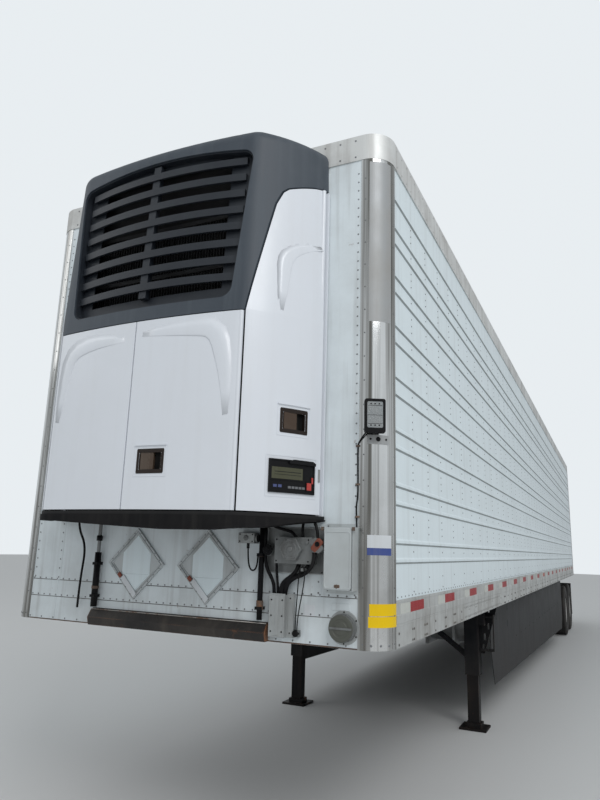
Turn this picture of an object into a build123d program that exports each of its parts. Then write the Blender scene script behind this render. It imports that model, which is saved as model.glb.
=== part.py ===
from build123d import *
import os
from math import atan2, cos, degrees, radians, sin

# A long refrigerated semi trailer: an insulated van body on a sliding tandem, with a
# refrigeration unit on its nose and a landing gear that it stands on when it is parked.
# Millimetres. X is across the body, Y runs from the nose to the rear doors, Z is up from the
# ground. The road side is +X. The origin is the middle of the footprint, on the ground.

os.makedirs("parts", exist_ok=True)

# Driving dimensions of the body
body_length = 16154
body_width = 2591
body_top = 4115
rail_bottom = 1190
unit_corner_depth = 450
unit_bow = 45
bumper_proud = 4
nose_reach = unit_corner_depth + unit_bow + bumper_proud
tail_reach = 75
corner_radius = 150

front = nose_reach - (nose_reach + body_length + tail_reach) / 2
rear = front + body_length
side = body_width / 2

# Walls, floor, roof and rails
rib_height = 8
rib_foot = 34
rib_crest = 14
wall_thickness = 64
front_wall_thickness = 100
roof_thickness = 72
floor_thickness = 88
crossmember_height = 102
rail_web = 12
rail_top = 1430
top_rail_height = 165
top_rail_flange = 50
flange_thickness = 8
post_sheet = 4
post_inset = 3
post_flange = 8
rear_frame_depth = 110

crossmember_top = rail_bottom + crossmember_height
floor_top = crossmember_top + floor_thickness
roof_top = body_top - flange_thickness
roof_bottom = roof_top - roof_thickness
top_rail_bottom = body_top - top_rail_height
skin_x = side - rib_height
liner_x = skin_x - wall_thickness
rail_x = side - rail_web
wall_face = front + post_inset + post_sheet
wall_back = wall_face + front_wall_thickness
corner_end = front + corner_radius + post_flange
frame_front = rear - rear_frame_depth


def block(x, y, z, mode=Mode.ADD):
    """A box from its two limits along each axis, in the part being built."""
    with Locations(((x[0] + x[1]) / 2, (y[0] + y[1]) / 2, (z[0] + z[1]) / 2)):
        Box(abs(x[1] - x[0]), abs(y[1] - y[0]), abs(z[1] - z[0]), mode=mode)


def across(station):
    """The plane that cuts the trailer across at a station along Y: local X is X, local Y is Z."""
    return Plane(origin=(0, station, 0), x_dir=(1, 0, 0), z_dir=(0, -1, 0))


def along(offset):
    """The upright plane along the trailer at an offset in X: local X is Y, local Y is Z."""
    return Plane(origin=(offset, 0, 0), x_dir=(0, 1, 0), z_dir=(1, 0, 0))


def write(piece, name):
    """Labels a finished piece and writes it as one file."""
    piece.part.label = name
    export_step(piece.part, f"parts/{name}.step")


def nose_outline(inset, back):
    """The body's outline from above, with round front corners, moved in by inset."""
    half, radius = side - inset, corner_radius - inset
    with BuildSketch(Plane.XY) as outline:
        with BuildLine():
            Line((-half, back), (-half, front + corner_radius))
            RadiusArc((-half, front + corner_radius), (-half + radius, front + inset), -radius)
            Line((-half + radius, front + inset), (half - radius, front + inset))
            RadiusArc((half - radius, front + inset), (half, front + corner_radius), -radius)
            Line((half, front + corner_radius), (half, back))
            Line((half, back), (-half, back))
        make_face()
    return outline.sketch


def rise(face, bottom, top, mode=Mode.ADD):
    """Raises a face drawn on the ground plane from one height to another."""
    extrude(face.moved(Location((0, 0, bottom))), amount=top - bottom, dir=(0, 0, 1), mode=mode)


# Insulated floor pack: the load floor on top of the crossmembers
with BuildPart() as floor:
    block((-liner_x, liner_x), (wall_back, frame_front), (crossmember_top, floor_top))
write(floor, "floor")

# Crossmembers: I-beams across the body, from behind the coupler to the rear frame
coupler_end = front + 1950
crossmember_pitch = 305
beam_flange = 58
beam_web = 6
crossmember_count = int((frame_front - coupler_end - beam_flange) // crossmember_pitch)
with BuildPart() as crossmembers:
    with BuildSketch(along(-rail_x)):
        for n in range(crossmember_count):
            station = coupler_end + crossmember_pitch * (n + 0.5)
            with BuildLine():
                Polyline(*[(station + u, z) for u, z in (
                    (-beam_flange / 2, rail_bottom), (beam_flange / 2, rail_bottom),
                    (beam_flange / 2, rail_bottom + beam_web),
                    (beam_web / 2, rail_bottom + beam_web),
                    (beam_web / 2, crossmember_top - beam_web),
                    (beam_flange / 2, crossmember_top - beam_web),
                    (beam_flange / 2, crossmember_top), (-beam_flange / 2, crossmember_top),
                    (-beam_flange / 2, crossmember_top - beam_web),
                    (-beam_web / 2, crossmember_top - beam_web),
                    (-beam_web / 2, rail_bottom + beam_web),
                    (-beam_flange / 2, rail_bottom + beam_web))], close=True)
            make_face()
    extrude(amount=2 * rail_x)
write(crossmembers, "crossmembers")

# Front wall, with round corners that the corner posts cover
with BuildPart() as front_wall:
    rise(nose_outline(post_inset + post_sheet, corner_end), rail_bottom, top_rail_bottom)
    rise(nose_outline(rail_web, corner_end), top_rail_bottom, roof_bottom)
    block((-liner_x, liner_x), (wall_back, corner_end), (rail_bottom, roof_bottom),
          mode=Mode.SUBTRACT)
write(front_wall, "front_wall")

# Side walls: flat skin with pairs of pressed ribs along the whole body
rib_pair_low = 1680
rib_pair_pitch = 304.8
rib_pair_gap = 100
rib_pair_count = 7
rib_single = 3745
rib_heights = [rib_pair_low + rib_pair_pitch * n + s * rib_pair_gap / 2
               for n in range(rib_pair_count) for s in (-1, 1)] + [rib_single]


def wall_profile(hand):
    """Section of a side wall, hand +1 on the road side and -1 on the kerb side."""
    points = [(liner_x, crossmember_top), (rail_x, crossmember_top), (rail_x, rail_top),
              (skin_x, rail_top)]
    for height in rib_heights:
        points += [(skin_x, height - rib_foot / 2), (side, height - rib_crest / 2),
                   (side, height + rib_crest / 2), (skin_x, height + rib_foot / 2)]
    points += [(skin_x, top_rail_bottom), (rail_x, top_rail_bottom), (rail_x, roof_bottom),
               (liner_x, roof_bottom)]
    return [(hand * x, z) for x, z in points]


for hand, name in ((1, "wall_road_side"), (-1, "wall_kerb_side")):
    with BuildPart() as wall:
        with BuildSketch(across(corner_end)):
            with BuildLine():
                Polyline(*wall_profile(hand), close=True)
            make_face()
        extrude(amount=-(frame_front - corner_end))
    write(wall, name)

# Roof
with BuildPart() as roof:
    rise(nose_outline(rail_web, frame_front), roof_bottom, roof_top)
write(roof, "roof")

# Top rail: an angle that runs down both sides and round the nose
with BuildPart() as top_rail:
    rise(nose_outline(0, frame_front), top_rail_bottom, body_top)
    rise(nose_outline(rail_web, rear), top_rail_bottom, roof_top, mode=Mode.SUBTRACT)
    rise(nose_outline(top_rail_flange, rear), roof_top, body_top, mode=Mode.SUBTRACT)
write(top_rail, "top_rail")

# Bottom rails: a stepped extrusion that the crossmembers end in
rail_step_low = 1312
rail_step_high = 1352
rail_relief = 3
for hand, name in ((1, "bottom_rail_road_side"), (-1, "bottom_rail_kerb_side")):
    with BuildPart() as bottom_rail:
        with BuildSketch(across(corner_end)):
            with BuildLine():
                Polyline(*[(hand * x, z) for x, z in (
                    (rail_x, rail_bottom), (side - rail_relief, rail_bottom),
                    (side - rail_relief, rail_step_low - rail_relief), (side, rail_step_low),
                    (side, rail_step_high), (side - rail_relief, rail_step_high + rail_relief),
                    (side - rail_relief, rail_top), (rail_x, rail_top))], close=True)
            make_face()
        extrude(amount=-(frame_front - corner_end))
    write(bottom_rail, name)

# Corner posts: bright sheet round the two front corners
with BuildPart() as corner_posts:
    rise(nose_outline(post_inset, corner_end), rail_bottom, top_rail_bottom)
    rise(nose_outline(post_inset + post_sheet, corner_end + 1), rail_bottom, top_rail_bottom,
         mode=Mode.SUBTRACT)
    flat_end = side - corner_radius - post_flange
    block((-flat_end, flat_end), (front, wall_face), (rail_bottom, top_rail_bottom),
          mode=Mode.SUBTRACT)
write(corner_posts, "corner_posts")

# Rear frame: header, two posts and a deep sill in one welded ring
frame_post = 57.5
door_sill = floor_top
header_depth = 115
door_header = body_top - header_depth
with BuildPart() as rear_frame:
    block((-side, side), (frame_front, rear), (rail_bottom, body_top))
    block((frame_post - side, side - frame_post), (frame_front, rear), (door_sill, door_header),
          mode=Mode.SUBTRACT)
    for hand in (1, -1):
        block((hand * (side - frame_post), hand * liner_x), (frame_front, frame_front + 10),
              (door_sill, door_header))

# Rear doors, hinged at the frame's posts
door_clearance = 6
door_thickness = 90
centre_gap = 24
hinge_x = side - 10.5
hinge_y = rear + 52
knuckle_radius = 10
pin_radius = 6
hinge_height = 90
strap_length = 160
strap_thickness = 8
hinge_count = 5
hinge_first = door_sill + 200
hinge_pitch = (door_header - door_sill - 400) / (hinge_count - 1)
door_low = door_sill + door_clearance
door_high = door_header - door_clearance
door_edge = side - frame_post - door_clearance
lug_height = 30
lug_gap = 3

rod_radius = 13.5
rod_offset = 26
rod_stations = (370, 900)
rod_reach = 46
for hand, name in ((1, "door_road_side"), (-1, "door_kerb_side")):
    with BuildPart() as door:
        block((hand * centre_gap / 2, hand * door_edge), (rear - door_thickness, rear),
              (door_low, door_high))
        for n in range(hinge_count):
            z = hinge_first + hinge_pitch * n
            with BuildSketch(Plane.XY.offset(z - hinge_height / 2)):
                with BuildLine():
                    Polyline((hand * (door_edge - strap_length), rear),
                             (hand * (door_edge - 8), rear),
                             (hand * (hinge_x + 4), hinge_y - knuckle_radius + 1),
                             (hand * (hinge_x - 4), hinge_y - knuckle_radius + 10),
                             (hand * (door_edge - 16), rear + strap_thickness),
                             (hand * (door_edge - strap_length), rear + strap_thickness),
                             close=True)
                make_face()
                with Locations((hand * hinge_x, hinge_y)):
                    Circle(knuckle_radius)
                    Circle(pin_radius + 0.3, mode=Mode.SUBTRACT)
            extrude(amount=hinge_height)
    write(door, name)

    with BuildPart() as rods:
        for x in rod_stations:
            with BuildSketch(Plane.XY.offset(door_low - rod_reach)):
                with Locations((hand * x, rear + rod_offset)):
                    Circle(rod_radius)
            extrude(amount=door_high - door_low + 2 * rod_reach)
            for z in (door_low + 120, (door_low + door_high) / 2, door_high - 120):
                block((hand * (x - 35), hand * (x + 35)), (rear, rear + rod_offset),
                      (z - 25, z + 25))
            block((hand * x, hand * (x - 330)), (rear + 30, rear + 42),
                  (1960 + 0.2 * x, 1995 + 0.2 * x))
            block((hand * (x - 300), hand * (x - 260)), (rear, rear + 30),
                  (1950 + 0.2 * x, 2005 + 0.2 * x))
    write(rods, name.replace("door", "lock_rods"))

    # The frame's half of each hinge: a lug above and below the door's knuckle, and the pin
    for n in range(hinge_count):
        z = hinge_first + hinge_pitch * n
        for start in (z + hinge_height / 2 + lug_gap, z - hinge_height / 2 - lug_gap - lug_height):
            with BuildPart(mode=Mode.PRIVATE) as lug:
                with BuildSketch(Plane.XY.offset(start)):
                    with BuildLine():
                        Polyline((hand * (side - 30), rear), (hand * (side - 0.5), rear),
                                 (hand * (hinge_x + knuckle_radius), hinge_y),
                                 (hand * (hinge_x - knuckle_radius), hinge_y), close=True)
                    make_face()
                    with Locations((hand * hinge_x, hinge_y)):
                        Circle(knuckle_radius)
                extrude(amount=lug_height)
            rear_frame.part = rear_frame.part + lug.part
        with BuildPart(mode=Mode.PRIVATE) as pin:
            with BuildSketch(Plane.XY.offset(z - hinge_height / 2 - lug_gap - lug_height)):
                with Locations((hand * hinge_x, hinge_y)):
                    Circle(pin_radius)
            extrude(amount=hinge_height + 2 * lug_gap + 2 * lug_height)
        rear_frame.part = rear_frame.part + pin.part
write(rear_frame, "rear_frame")

# Upper coupler: the pick-up plate under the nose with its stiffeners
coupler_plate = 8
with BuildPart() as coupler:
    block((-liner_x, liner_x), (wall_back, corner_end), (rail_bottom, rail_bottom + coupler_plate))
    block((-rail_x, rail_x), (corner_end, coupler_end), (rail_bottom, rail_bottom + coupler_plate))
    for n in range(7):
        x = (n - 3) * 400
        block((x - 6, x + 6), (wall_back, coupler_end), (rail_bottom, crossmember_top))
    for station in (corner_end + 6, front + 700, front + 1300, coupler_end - 6):
        block((-rail_x, rail_x), (station - 6, station + 6), (rail_bottom, crossmember_top))
write(coupler, "coupler_plate")

# Kingpin: collar, neck for the fifth wheel's jaws, and the flange below
kingpin_setback = 914
kingpin_y = front + kingpin_setback
neck_radius = 25.4
collar_radius = 36.5
pin_flange_radius = 35.7
collar_length = 25
neck_length = 35
pin_flange_length = 24
with BuildPart() as kingpin:
    neck_top = rail_bottom - collar_length
    neck_bottom = neck_top - neck_length
    for top, radius, length in ((rail_bottom, collar_radius, collar_length),
                                (neck_top, neck_radius, neck_length),
                                (neck_bottom, pin_flange_radius, pin_flange_length)):
        with BuildSketch(Plane.XY.offset(top)):
            with Locations((0, kingpin_y)):
                Circle(radius)
        extrude(amount=-length)
write(kingpin, "kingpin")

# Apron: the bent steel nose of the pick-up plate, under the front wall
with BuildPart() as apron:
    with BuildSketch(along(-600)):
        with BuildLine():
            Polyline((wall_face, 1290), (front - 12, 1282), (front - 42, 1236),
                     (front - 30, 1190), (wall_face, 1190), close=True)
        make_face()
    extrude(amount=1225)
write(apron, "nose_apron")

# Landing gear
leg_y = front + 3800
leg_x = 970
leg_tube = 140
leg_wall = 8
ram_side = 110
tube_bottom = 500
shoe_side = 260
shoe_thickness = 20
with BuildPart() as leg_tubes:
    for hand in (1, -1):
        x = hand * leg_x
        half = leg_tube / 2
        block((x - half, x + half), (leg_y - half, leg_y + half), (tube_bottom, rail_bottom))
        block((x - half + leg_wall, x + half - leg_wall),
              (leg_y - half + leg_wall, leg_y + half - leg_wall),
              (tube_bottom, rail_bottom - 12), mode=Mode.SUBTRACT)
write(leg_tubes, "leg_tubes")

with BuildPart() as leg_rams:
    for hand in (1, -1):
        x = hand * leg_x
        inner = leg_tube / 2 - leg_wall
        block((x - ram_side / 2, x + ram_side / 2), (leg_y - ram_side / 2, leg_y + ram_side / 2),
              (shoe_thickness, tube_bottom + 300))
        block((x - inner, x + inner), (leg_y - inner, leg_y + inner),
              (tube_bottom + 260, tube_bottom + 300))
        block((x - shoe_side / 2, x + shoe_side / 2), (leg_y - shoe_side / 2, leg_y + shoe_side / 2),
              (0, shoe_thickness))
        block((x - 75, x + 75), (leg_y - 75, leg_y + 75), (shoe_thickness, shoe_thickness + 40))
write(leg_rams, "leg_rams")

wing_reach = 1225
wing_slots = ((1085, 1130), (1130, 1130), (1085, 1000), (1125, 960), (1085, 860), (1070, 760))
with BuildPart() as leg_braces:
    for hand in (1, -1):
        half = leg_tube / 2
        with BuildSketch(across(leg_y + 50)):
            with BuildLine():
                Polyline((hand * (leg_x + half), rail_bottom), (hand * wing_reach, rail_bottom),
                         (hand * (leg_x + half + 40), 700), (hand * (leg_x + half), 700),
                         close=True)
            make_face()
            with Locations(*[(hand * x, z) for x, z in wing_slots]):
                SlotOverall(64, 18, rotation=90, mode=Mode.SUBTRACT)
        extrude(amount=6)
        with BuildSketch(along(hand * leg_x - 25)):
            with BuildLine():
                Polyline((leg_y + half, 640), (leg_y + half, 700), (leg_y + 900, rail_bottom),
                         (leg_y + 960, rail_bottom), close=True)
            make_face()
        extrude(amount=50)
        with BuildSketch(across(leg_y + 64)):
            with BuildLine():
                Polyline((hand * (leg_x - half), 640), (hand * (leg_x - half), 700),
                         (hand * 210, rail_bottom), (hand * 140, rail_bottom), close=True)
            make_face()
        extrude(amount=40)
write(leg_braces, "leg_braces")

crank_z = 1060
with BuildPart() as crank:
    with BuildSketch(Plane(origin=(-leg_x + leg_tube / 2, leg_y, crank_z), x_dir=(0, 1, 0),
                           z_dir=(1, 0, 0))):
        Circle(16)
    extrude(amount=2 * leg_x - leg_tube)
    gear_x = leg_x + leg_tube / 2
    block((gear_x, gear_x + 60), (leg_y - 55, leg_y + 40), (crank_z - 80, crank_z + 70))
    with BuildSketch(along(gear_x + 60)):
        with Locations((leg_y - 10, crank_z)):
            Circle(14)
    extrude(amount=90)
    block((gear_x + 138, gear_x + 150), (leg_y - 25, leg_y + 5), (crank_z - 330, crank_z + 20))
    block((gear_x + 10, gear_x + 138), (leg_y - 22, leg_y + 2), (crank_z - 330, crank_z - 306))
write(crank, "leg_crank")

# Side skirts, set in at the front and flush with the rail at the rear
skirt_start = leg_y + 95
skirt_tip = leg_y + 250
skirt_shoulder = 740
skirt_rear_round = 220
skirt_slots = ((leg_y + 430, 1030), (leg_y + 1150, 1080), (leg_y + 1150, 900))
skirt_to_rear = 4454
skirt_end = rear - skirt_to_rear
skirt_front_x = 1130
skirt_rear_x = 1262
skirt_sheet = 6
skirt_low_front = 380
skirt_low_rear = 260
with BuildPart() as skirts:
    for hand in (1, -1):
        with BuildSketch(Plane.XY.offset(skirt_low_rear)):
            with BuildLine():
                Polyline((hand * skirt_front_x, skirt_start), (hand * skirt_rear_x, skirt_end),
                         (hand * (skirt_rear_x + skirt_sheet), skirt_end),
                         (hand * (skirt_front_x + skirt_sheet), skirt_start), close=True)
            make_face()
        extrude(amount=rail_bottom - skirt_low_rear)
    with BuildSketch(along(-side)):
        with BuildLine():
            Polyline((skirt_start - 1, skirt_low_rear - 1), (skirt_start - 1, skirt_shoulder),
                     (skirt_start, skirt_shoulder), (skirt_tip, skirt_low_front),
                     (skirt_end - skirt_rear_round, skirt_low_rear),
                     (skirt_end + 1, skirt_low_rear + skirt_rear_round),
                     (skirt_end + 1, skirt_low_rear - 1), close=True)
        make_face()
    extrude(amount=body_width, mode=Mode.SUBTRACT)
    for station, z in skirt_slots:
        block((-side, side), (station - 9, station + 9), (z - 35, z + 35), mode=Mode.SUBTRACT)
write(skirts, "skirts")

# Body rails that the tandem slides along
body_rail_x = (505, 565)
body_rail_drop = 90
body_rail_bottom = rail_bottom - body_rail_drop
body_rail_length = 5700
body_rail_to_rear = 254
body_rail_end = rear - body_rail_to_rear
body_rail_start = body_rail_end - body_rail_length
with BuildPart() as body_rails:
    for hand in (1, -1):
        block((hand * body_rail_x[0], hand * body_rail_x[1]), (body_rail_start, body_rail_end),
              (body_rail_bottom, rail_bottom))
write(body_rails, "body_rails")

# Sliding tandem: frame, hangers, trailing arms, air springs and axles
axle_spacing = 1245
rear_overhang = 2059
axle_front_y = rear - rear_overhang - axle_spacing
axle_stations = (axle_front_y, axle_front_y + axle_spacing)
tyre_radius = 515
wheel_z = tyre_radius
slider_top = body_rail_bottom
slider_bottom = slider_top - 110
slider_start = axle_front_y - 850
slider_end = axle_front_y + axle_spacing + 750
hanger_ahead = 480
hanger_plate = 12
arm_pivot_z = 700
arm_width = 80
arm_x = (body_rail_x[0] + body_rail_x[1]) / 2
pivot_radius = 20
with BuildPart() as slider:
    for hand in (1, -1):
        block((hand * body_rail_x[0], hand * body_rail_x[1]), (slider_start, slider_end),
              (slider_bottom, slider_top))
        for axle in axle_stations:
            pivot = axle - hanger_ahead
            for inner in (arm_width / 2, -arm_width / 2 - hanger_plate):
                with BuildSketch(along(hand * arm_x + inner)):
                    with BuildLine():
                        Polyline((pivot - 150, slider_bottom), (pivot + 120, slider_bottom),
                                 (pivot + 55, arm_pivot_z - 60), (pivot - 55, arm_pivot_z - 60),
                                 close=True)
                    make_face()
                extrude(amount=hanger_plate)
            block((hand * arm_x - arm_width / 2, hand * arm_x + arm_width / 2),
                  (pivot - 92, pivot - 84), (arm_pivot_z, slider_bottom))
            with BuildSketch(along(hand * arm_x - arm_width / 2 - hanger_plate - 25)):
                with Locations((pivot, arm_pivot_z)):
                    Circle(pivot_radius)
            extrude(amount=arm_width + 2 * hanger_plate + 50)
    for station in (slider_start + 60, axle_front_y - hanger_ahead, axle_front_y + 330,
                    axle_front_y + axle_spacing - hanger_ahead, slider_end - 60):
        block((-body_rail_x[0], body_rail_x[0]), (station - 40, station + 40),
              (slider_bottom + 10, slider_top - 10))
    for station in (slider_start + 260, slider_end - 260):
        for hand in (1, -1):
            with BuildSketch(along(hand * (body_rail_x[1] + 25) - 25)):
                with Locations((station, slider_top - 45)):
                    Circle(19)
            extrude(amount=50)
write(slider, "slider_frame")

axle_radius = 64
eye_radius = 58
spring_seat = wheel_z + axle_radius + 40
spring_behind = 235
spring_radius = 125
with BuildPart() as arms:
    for hand in (1, -1):
        for axle in axle_stations:
            with BuildSketch(along(hand * arm_x - arm_width / 2)):
                with BuildLine():
                    Polyline((axle - hanger_ahead, arm_pivot_z - 40),
                             (axle - hanger_ahead, arm_pivot_z + 40),
                             (axle - 80, spring_seat), (axle + spring_behind + 100, spring_seat),
                             (axle + spring_behind + 100, spring_seat - 25),
                             (axle + 90, wheel_z + axle_radius - 10),
                             (axle - 90, wheel_z + axle_radius - 10), close=True)
                make_face()
                with Locations((axle - hanger_ahead, arm_pivot_z)):
                    Circle(eye_radius)
                    Circle(pivot_radius + 0.3, mode=Mode.SUBTRACT)
                with Locations((axle, wheel_z)):
                    Circle(axle_radius, mode=Mode.SUBTRACT)
            extrude(amount=arm_width)
write(arms, "trailing_arms")

with BuildPart() as air_springs:
    for hand in (1, -1):
        for axle in axle_stations:
            with BuildSketch(Plane.XY.offset(spring_seat)):
                with Locations((hand * arm_x, axle + spring_behind)):
                    Circle(spring_radius)
            extrude(amount=slider_bottom - spring_seat)
write(air_springs, "air_springs")

# Axles: beam, spindles, cam tubes and brake chambers
wheel_centre_x = 984
dual_spacing = 343
spindle_radius = 40
drum_inner_x = 700
with BuildPart() as axles:
    for axle in axle_stations:
        with BuildSketch(Plane(origin=(-drum_inner_x, axle, wheel_z), x_dir=(0, 1, 0),
                               z_dir=(1, 0, 0))):
            Circle(axle_radius)
        extrude(amount=2 * drum_inner_x)
        with BuildSketch(Plane(origin=(-1090, axle, wheel_z), x_dir=(0, 1, 0), z_dir=(1, 0, 0))):
            Circle(spindle_radius)
        extrude(amount=2180)
        for hand in (1, -1):
            with BuildSketch(Plane(origin=(hand * 370, axle - 70, wheel_z + 165),
                                   x_dir=(1, 0, 0), z_dir=(0, -1, 0))):
                Circle(82)
            extrude(amount=150)
            block((hand * 350, hand * 390), (axle - 80, axle - 30), (wheel_z, wheel_z + 100))
write(axles, "axles")

# Twin wheels: two tyres, and the two disc wheels with the hub and drum that carry them
tyre_width = 275
bead_radius = 286
rim_width = 220
barrel = 12
disc_sheet = 12
bolt_circle_edge = 168
pilot_radius = 105
drum_radius = 212
cap_reach = 156
tyre_section = ((-0.36, bead_radius), (-0.5, 400), (-0.46, tyre_radius - 27),
                (-0.40, tyre_radius), (0.40, tyre_radius), (0.46, tyre_radius - 27),
                (0.5, 400), (0.36, bead_radius))


def wheel_plane(axle):
    """Local X runs along the axle and local Y is the radius."""
    return Plane(origin=(0, axle, wheel_z), x_dir=(1, 0, 0), z_dir=(0, -1, 0))


def turned(points, axle):
    """Adds the solid that a closed outline of (X, radius) points makes about the axle."""
    with BuildSketch(wheel_plane(axle)) as section:
        with BuildLine():
            Polyline(*points, close=True)
        make_face()
    revolve(section.sketch, axis=Axis((0, axle, wheel_z), (1, 0, 0)))


# Disc wheel: distance outward from the face where the two discs meet, and radius
rim_in = dual_spacing / 2 - rim_width / 2
rim_out = dual_spacing / 2 + rim_width / 2
disc_section = ((0, pilot_radius), (disc_sheet, pilot_radius), (disc_sheet, bolt_circle_edge),
                (rim_in + 12, bead_radius - 24), (rim_in + 22, bead_radius - barrel),
                (rim_out, bead_radius - barrel), (rim_out, bead_radius), (rim_in, bead_radius),
                (rim_in, bead_radius - 14), (0, bolt_circle_edge + 8))
# Hub and drum: distance outward from the same face, and radius
hub_section = ((-279, spindle_radius + 0.3), (-279, 82), (-44, 92), (-44, drum_radius - 14),
               (-264, drum_radius - 14), (-264, drum_radius), (-46, drum_radius),
               (-26, bolt_circle_edge - 2), (-disc_sheet, bolt_circle_edge - 2),
               (-disc_sheet, pilot_radius - 1), (100, 96), (116, 80), (cap_reach - 5, 78),
               (cap_reach, 70), (cap_reach, 0), (108, 0), (108, spindle_radius + 0.3))
wheel_names = {(1, 0): "road_front", (1, 1): "road_rear", (-1, 0): "kerb_front",
               (-1, 1): "kerb_rear"}
for (hand, row), name in wheel_names.items():
    axle = axle_stations[row]
    with BuildPart() as tyres:
        for twin in (-0.5, 0.5):
            centre = hand * (wheel_centre_x + twin * dual_spacing)
            turned([(centre + tyre_width * u, r) for u, r in tyre_section], axle)
    write(tyres, f"tyres_{name}")

    with BuildPart() as wheel:
        for facing in (1, -1):
            turned([(hand * (wheel_centre_x + facing * u), r) for u, r in disc_section], axle)
        turned([(hand * (wheel_centre_x + u), r) for u, r in hub_section], axle)
    write(wheel, f"wheel_{name}")

# Mud flaps behind the rear tyres, hung from the tandem
flap_y = axle_front_y + axle_spacing + tyre_radius + 150
with BuildPart() as mud_flaps:
    for hand in (1, -1):
        block((hand * 690, hand * 1285), (flap_y, flap_y + 8), (300, 1020))
        block((hand * body_rail_x[1], hand * 1285), (flap_y + 8, flap_y + 48), (985, 1025))
write(mud_flaps, "mud_flaps")

# Rear underride guard
guard_y = rear - 120
guard_half = 1150
with BuildPart() as guard:
    block((-guard_half, guard_half), (guard_y, guard_y + 100), (460, 560))
    for hand in (1, -1):
        block((hand * 560, hand * 640), (guard_y, guard_y + 100), (560, rail_bottom))
        with BuildSketch(along(hand * 600 - 30)):
            with BuildLine():
                Polyline((guard_y, 640), (guard_y, 720), (guard_y - 300, rail_bottom),
                         (guard_y - 380, rail_bottom), close=True)
            make_face()
        extrude(amount=60)
write(guard, "underride_guard")

# Dock bumpers on the sill
with BuildPart() as bumpers:
    for hand in (1, -1):
        block((hand * 1080, hand * 1230), (rear, rear + tail_reach), (1200, 1330))
write(bumpers, "dock_bumpers")

# Fuel tank for the refrigeration unit
tank_radius = 290
with BuildPart() as tank:
    with BuildSketch(Plane(origin=(-430, front + 5600, rail_bottom - tank_radius - 30),
                           x_dir=(0, 1, 0), z_dir=(1, 0, 0))):
        Circle(tank_radius)
    extrude(amount=1100)
    for x in (-250, 90, 430):
        with BuildSketch(Plane(origin=(x, front + 5600, rail_bottom - tank_radius - 30),
                               x_dir=(0, 1, 0), z_dir=(1, 0, 0))):
            Rectangle(2 * tank_radius + 16, 2 * tank_radius + 60)
            Circle(tank_radius - 1, mode=Mode.SUBTRACT)
        extrude(amount=30)
write(tank, "fuel_tank")

# Refrigeration unit on the nose: a moulded shell with a shallow bow in front, a rounded return
# at each side and a face that leans back above the doors
unit_half = 945
unit_corner_x = 645
unit_corner_round = 150
unit_side_bulge = (30, 24)
bumper_low = 1750
unit_low = 1832
unit_high = 4065
unit_lean = 62
unit_top_round = 90
shell = 28
pan_depth = 20
deck_top = 1850
door_gap = 6
panel_gap = 8
unit_door_low = deck_top + door_gap
fascia_bottom = 2915
unit_door_high = fascia_bottom - door_gap
split_x = -30
side_panel_top = 3775
axis_inset = 14
unit_axis_x = unit_corner_x - 17
unit_axis_y = front - unit_corner_depth + 12
side_axis_x = unit_half - 30
side_axis_y = front - 40
jamb_depth = 17
pin_size = 5
pin_clearance = 0.3
pin_length = 30
fascia_side = ((645, 2915), (740, 3581), (765, 3666), (785, 3695), (830, 3727), (880, 3762))
lean_rate = unit_lean / (unit_high - fascia_bottom)


def unit_outline(inset, height=0):
    """The unit's outline from above, moved in by inset and closed at the wall."""
    half = unit_half - inset
    corner_x, depth = unit_corner_x - 0.5 * inset, unit_corner_depth - inset
    mid_x = (unit_half + unit_corner_x) / 2 + unit_side_bulge[0] - 0.82 * inset
    mid_y = unit_corner_depth / 2 + unit_side_bulge[1] - 0.57 * inset
    with BuildSketch(Plane.XY.offset(height)) as outline:
        with BuildLine():
            ThreePointArc((-half, front), (-mid_x, front - mid_y), (-corner_x, front - depth))
            ThreePointArc((-corner_x, front - depth), (0, front - depth - unit_bow),
                          (corner_x, front - depth))
            ThreePointArc((corner_x, front - depth), (mid_x, front - mid_y), (half, front))
            Line((half, front), (-half, front))
        make_face()
        fillet(outline.vertices().group_by(Axis.Y)[0], radius=unit_corner_round - inset)
    return outline.sketch


def upright(x, y, bottom, top, radius, mode=Mode.ADD):
    """A vertical round bar in the part being built."""
    with BuildSketch(Plane.XY.offset(bottom)) as disc:
        with Locations((x, y)):
            Circle(radius)
    extrude(disc.sketch, amount=top - bottom, mode=mode)


def leaning(inset, bottom, top):
    """The outline raised from one height to another along the lean of the unit's face."""
    slope = Vector(0, lean_rate, 1)
    back = lean_rate * (bottom - fascia_bottom)
    face = unit_outline(inset, bottom).moved(Location((0, back, 0)))
    extrude(face, amount=(top - bottom) * slope.length, dir=slope.normalized())


def unit_body(inset):
    """The unit's outer form moved in by inset, upright below the seam and leaning above it."""
    with BuildPart() as body:
        extrude(unit_outline(inset, deck_top), amount=fascia_bottom - deck_top, dir=(0, 0, 1))
        leaning(inset, fascia_bottom, unit_high - inset)
        split(bisect_by=Plane(origin=(0, front, 0), x_dir=(1, 0, 0), z_dir=(0, 1, 0)),
              keep=Keep.BOTTOM)
        crown = body.faces().sort_by(Axis.Z)[-1]
        fillet([edge for edge in crown.edges() if edge.center().Y < front - 1],
               radius=unit_top_round - inset)
    return body.part


outer_body = unit_body(0)
# The shell that the doors, side panels and fascia are cut from
with BuildPart() as unit_shell:
    add(outer_body)
    add(unit_body(shell), mode=Mode.SUBTRACT)

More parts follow.
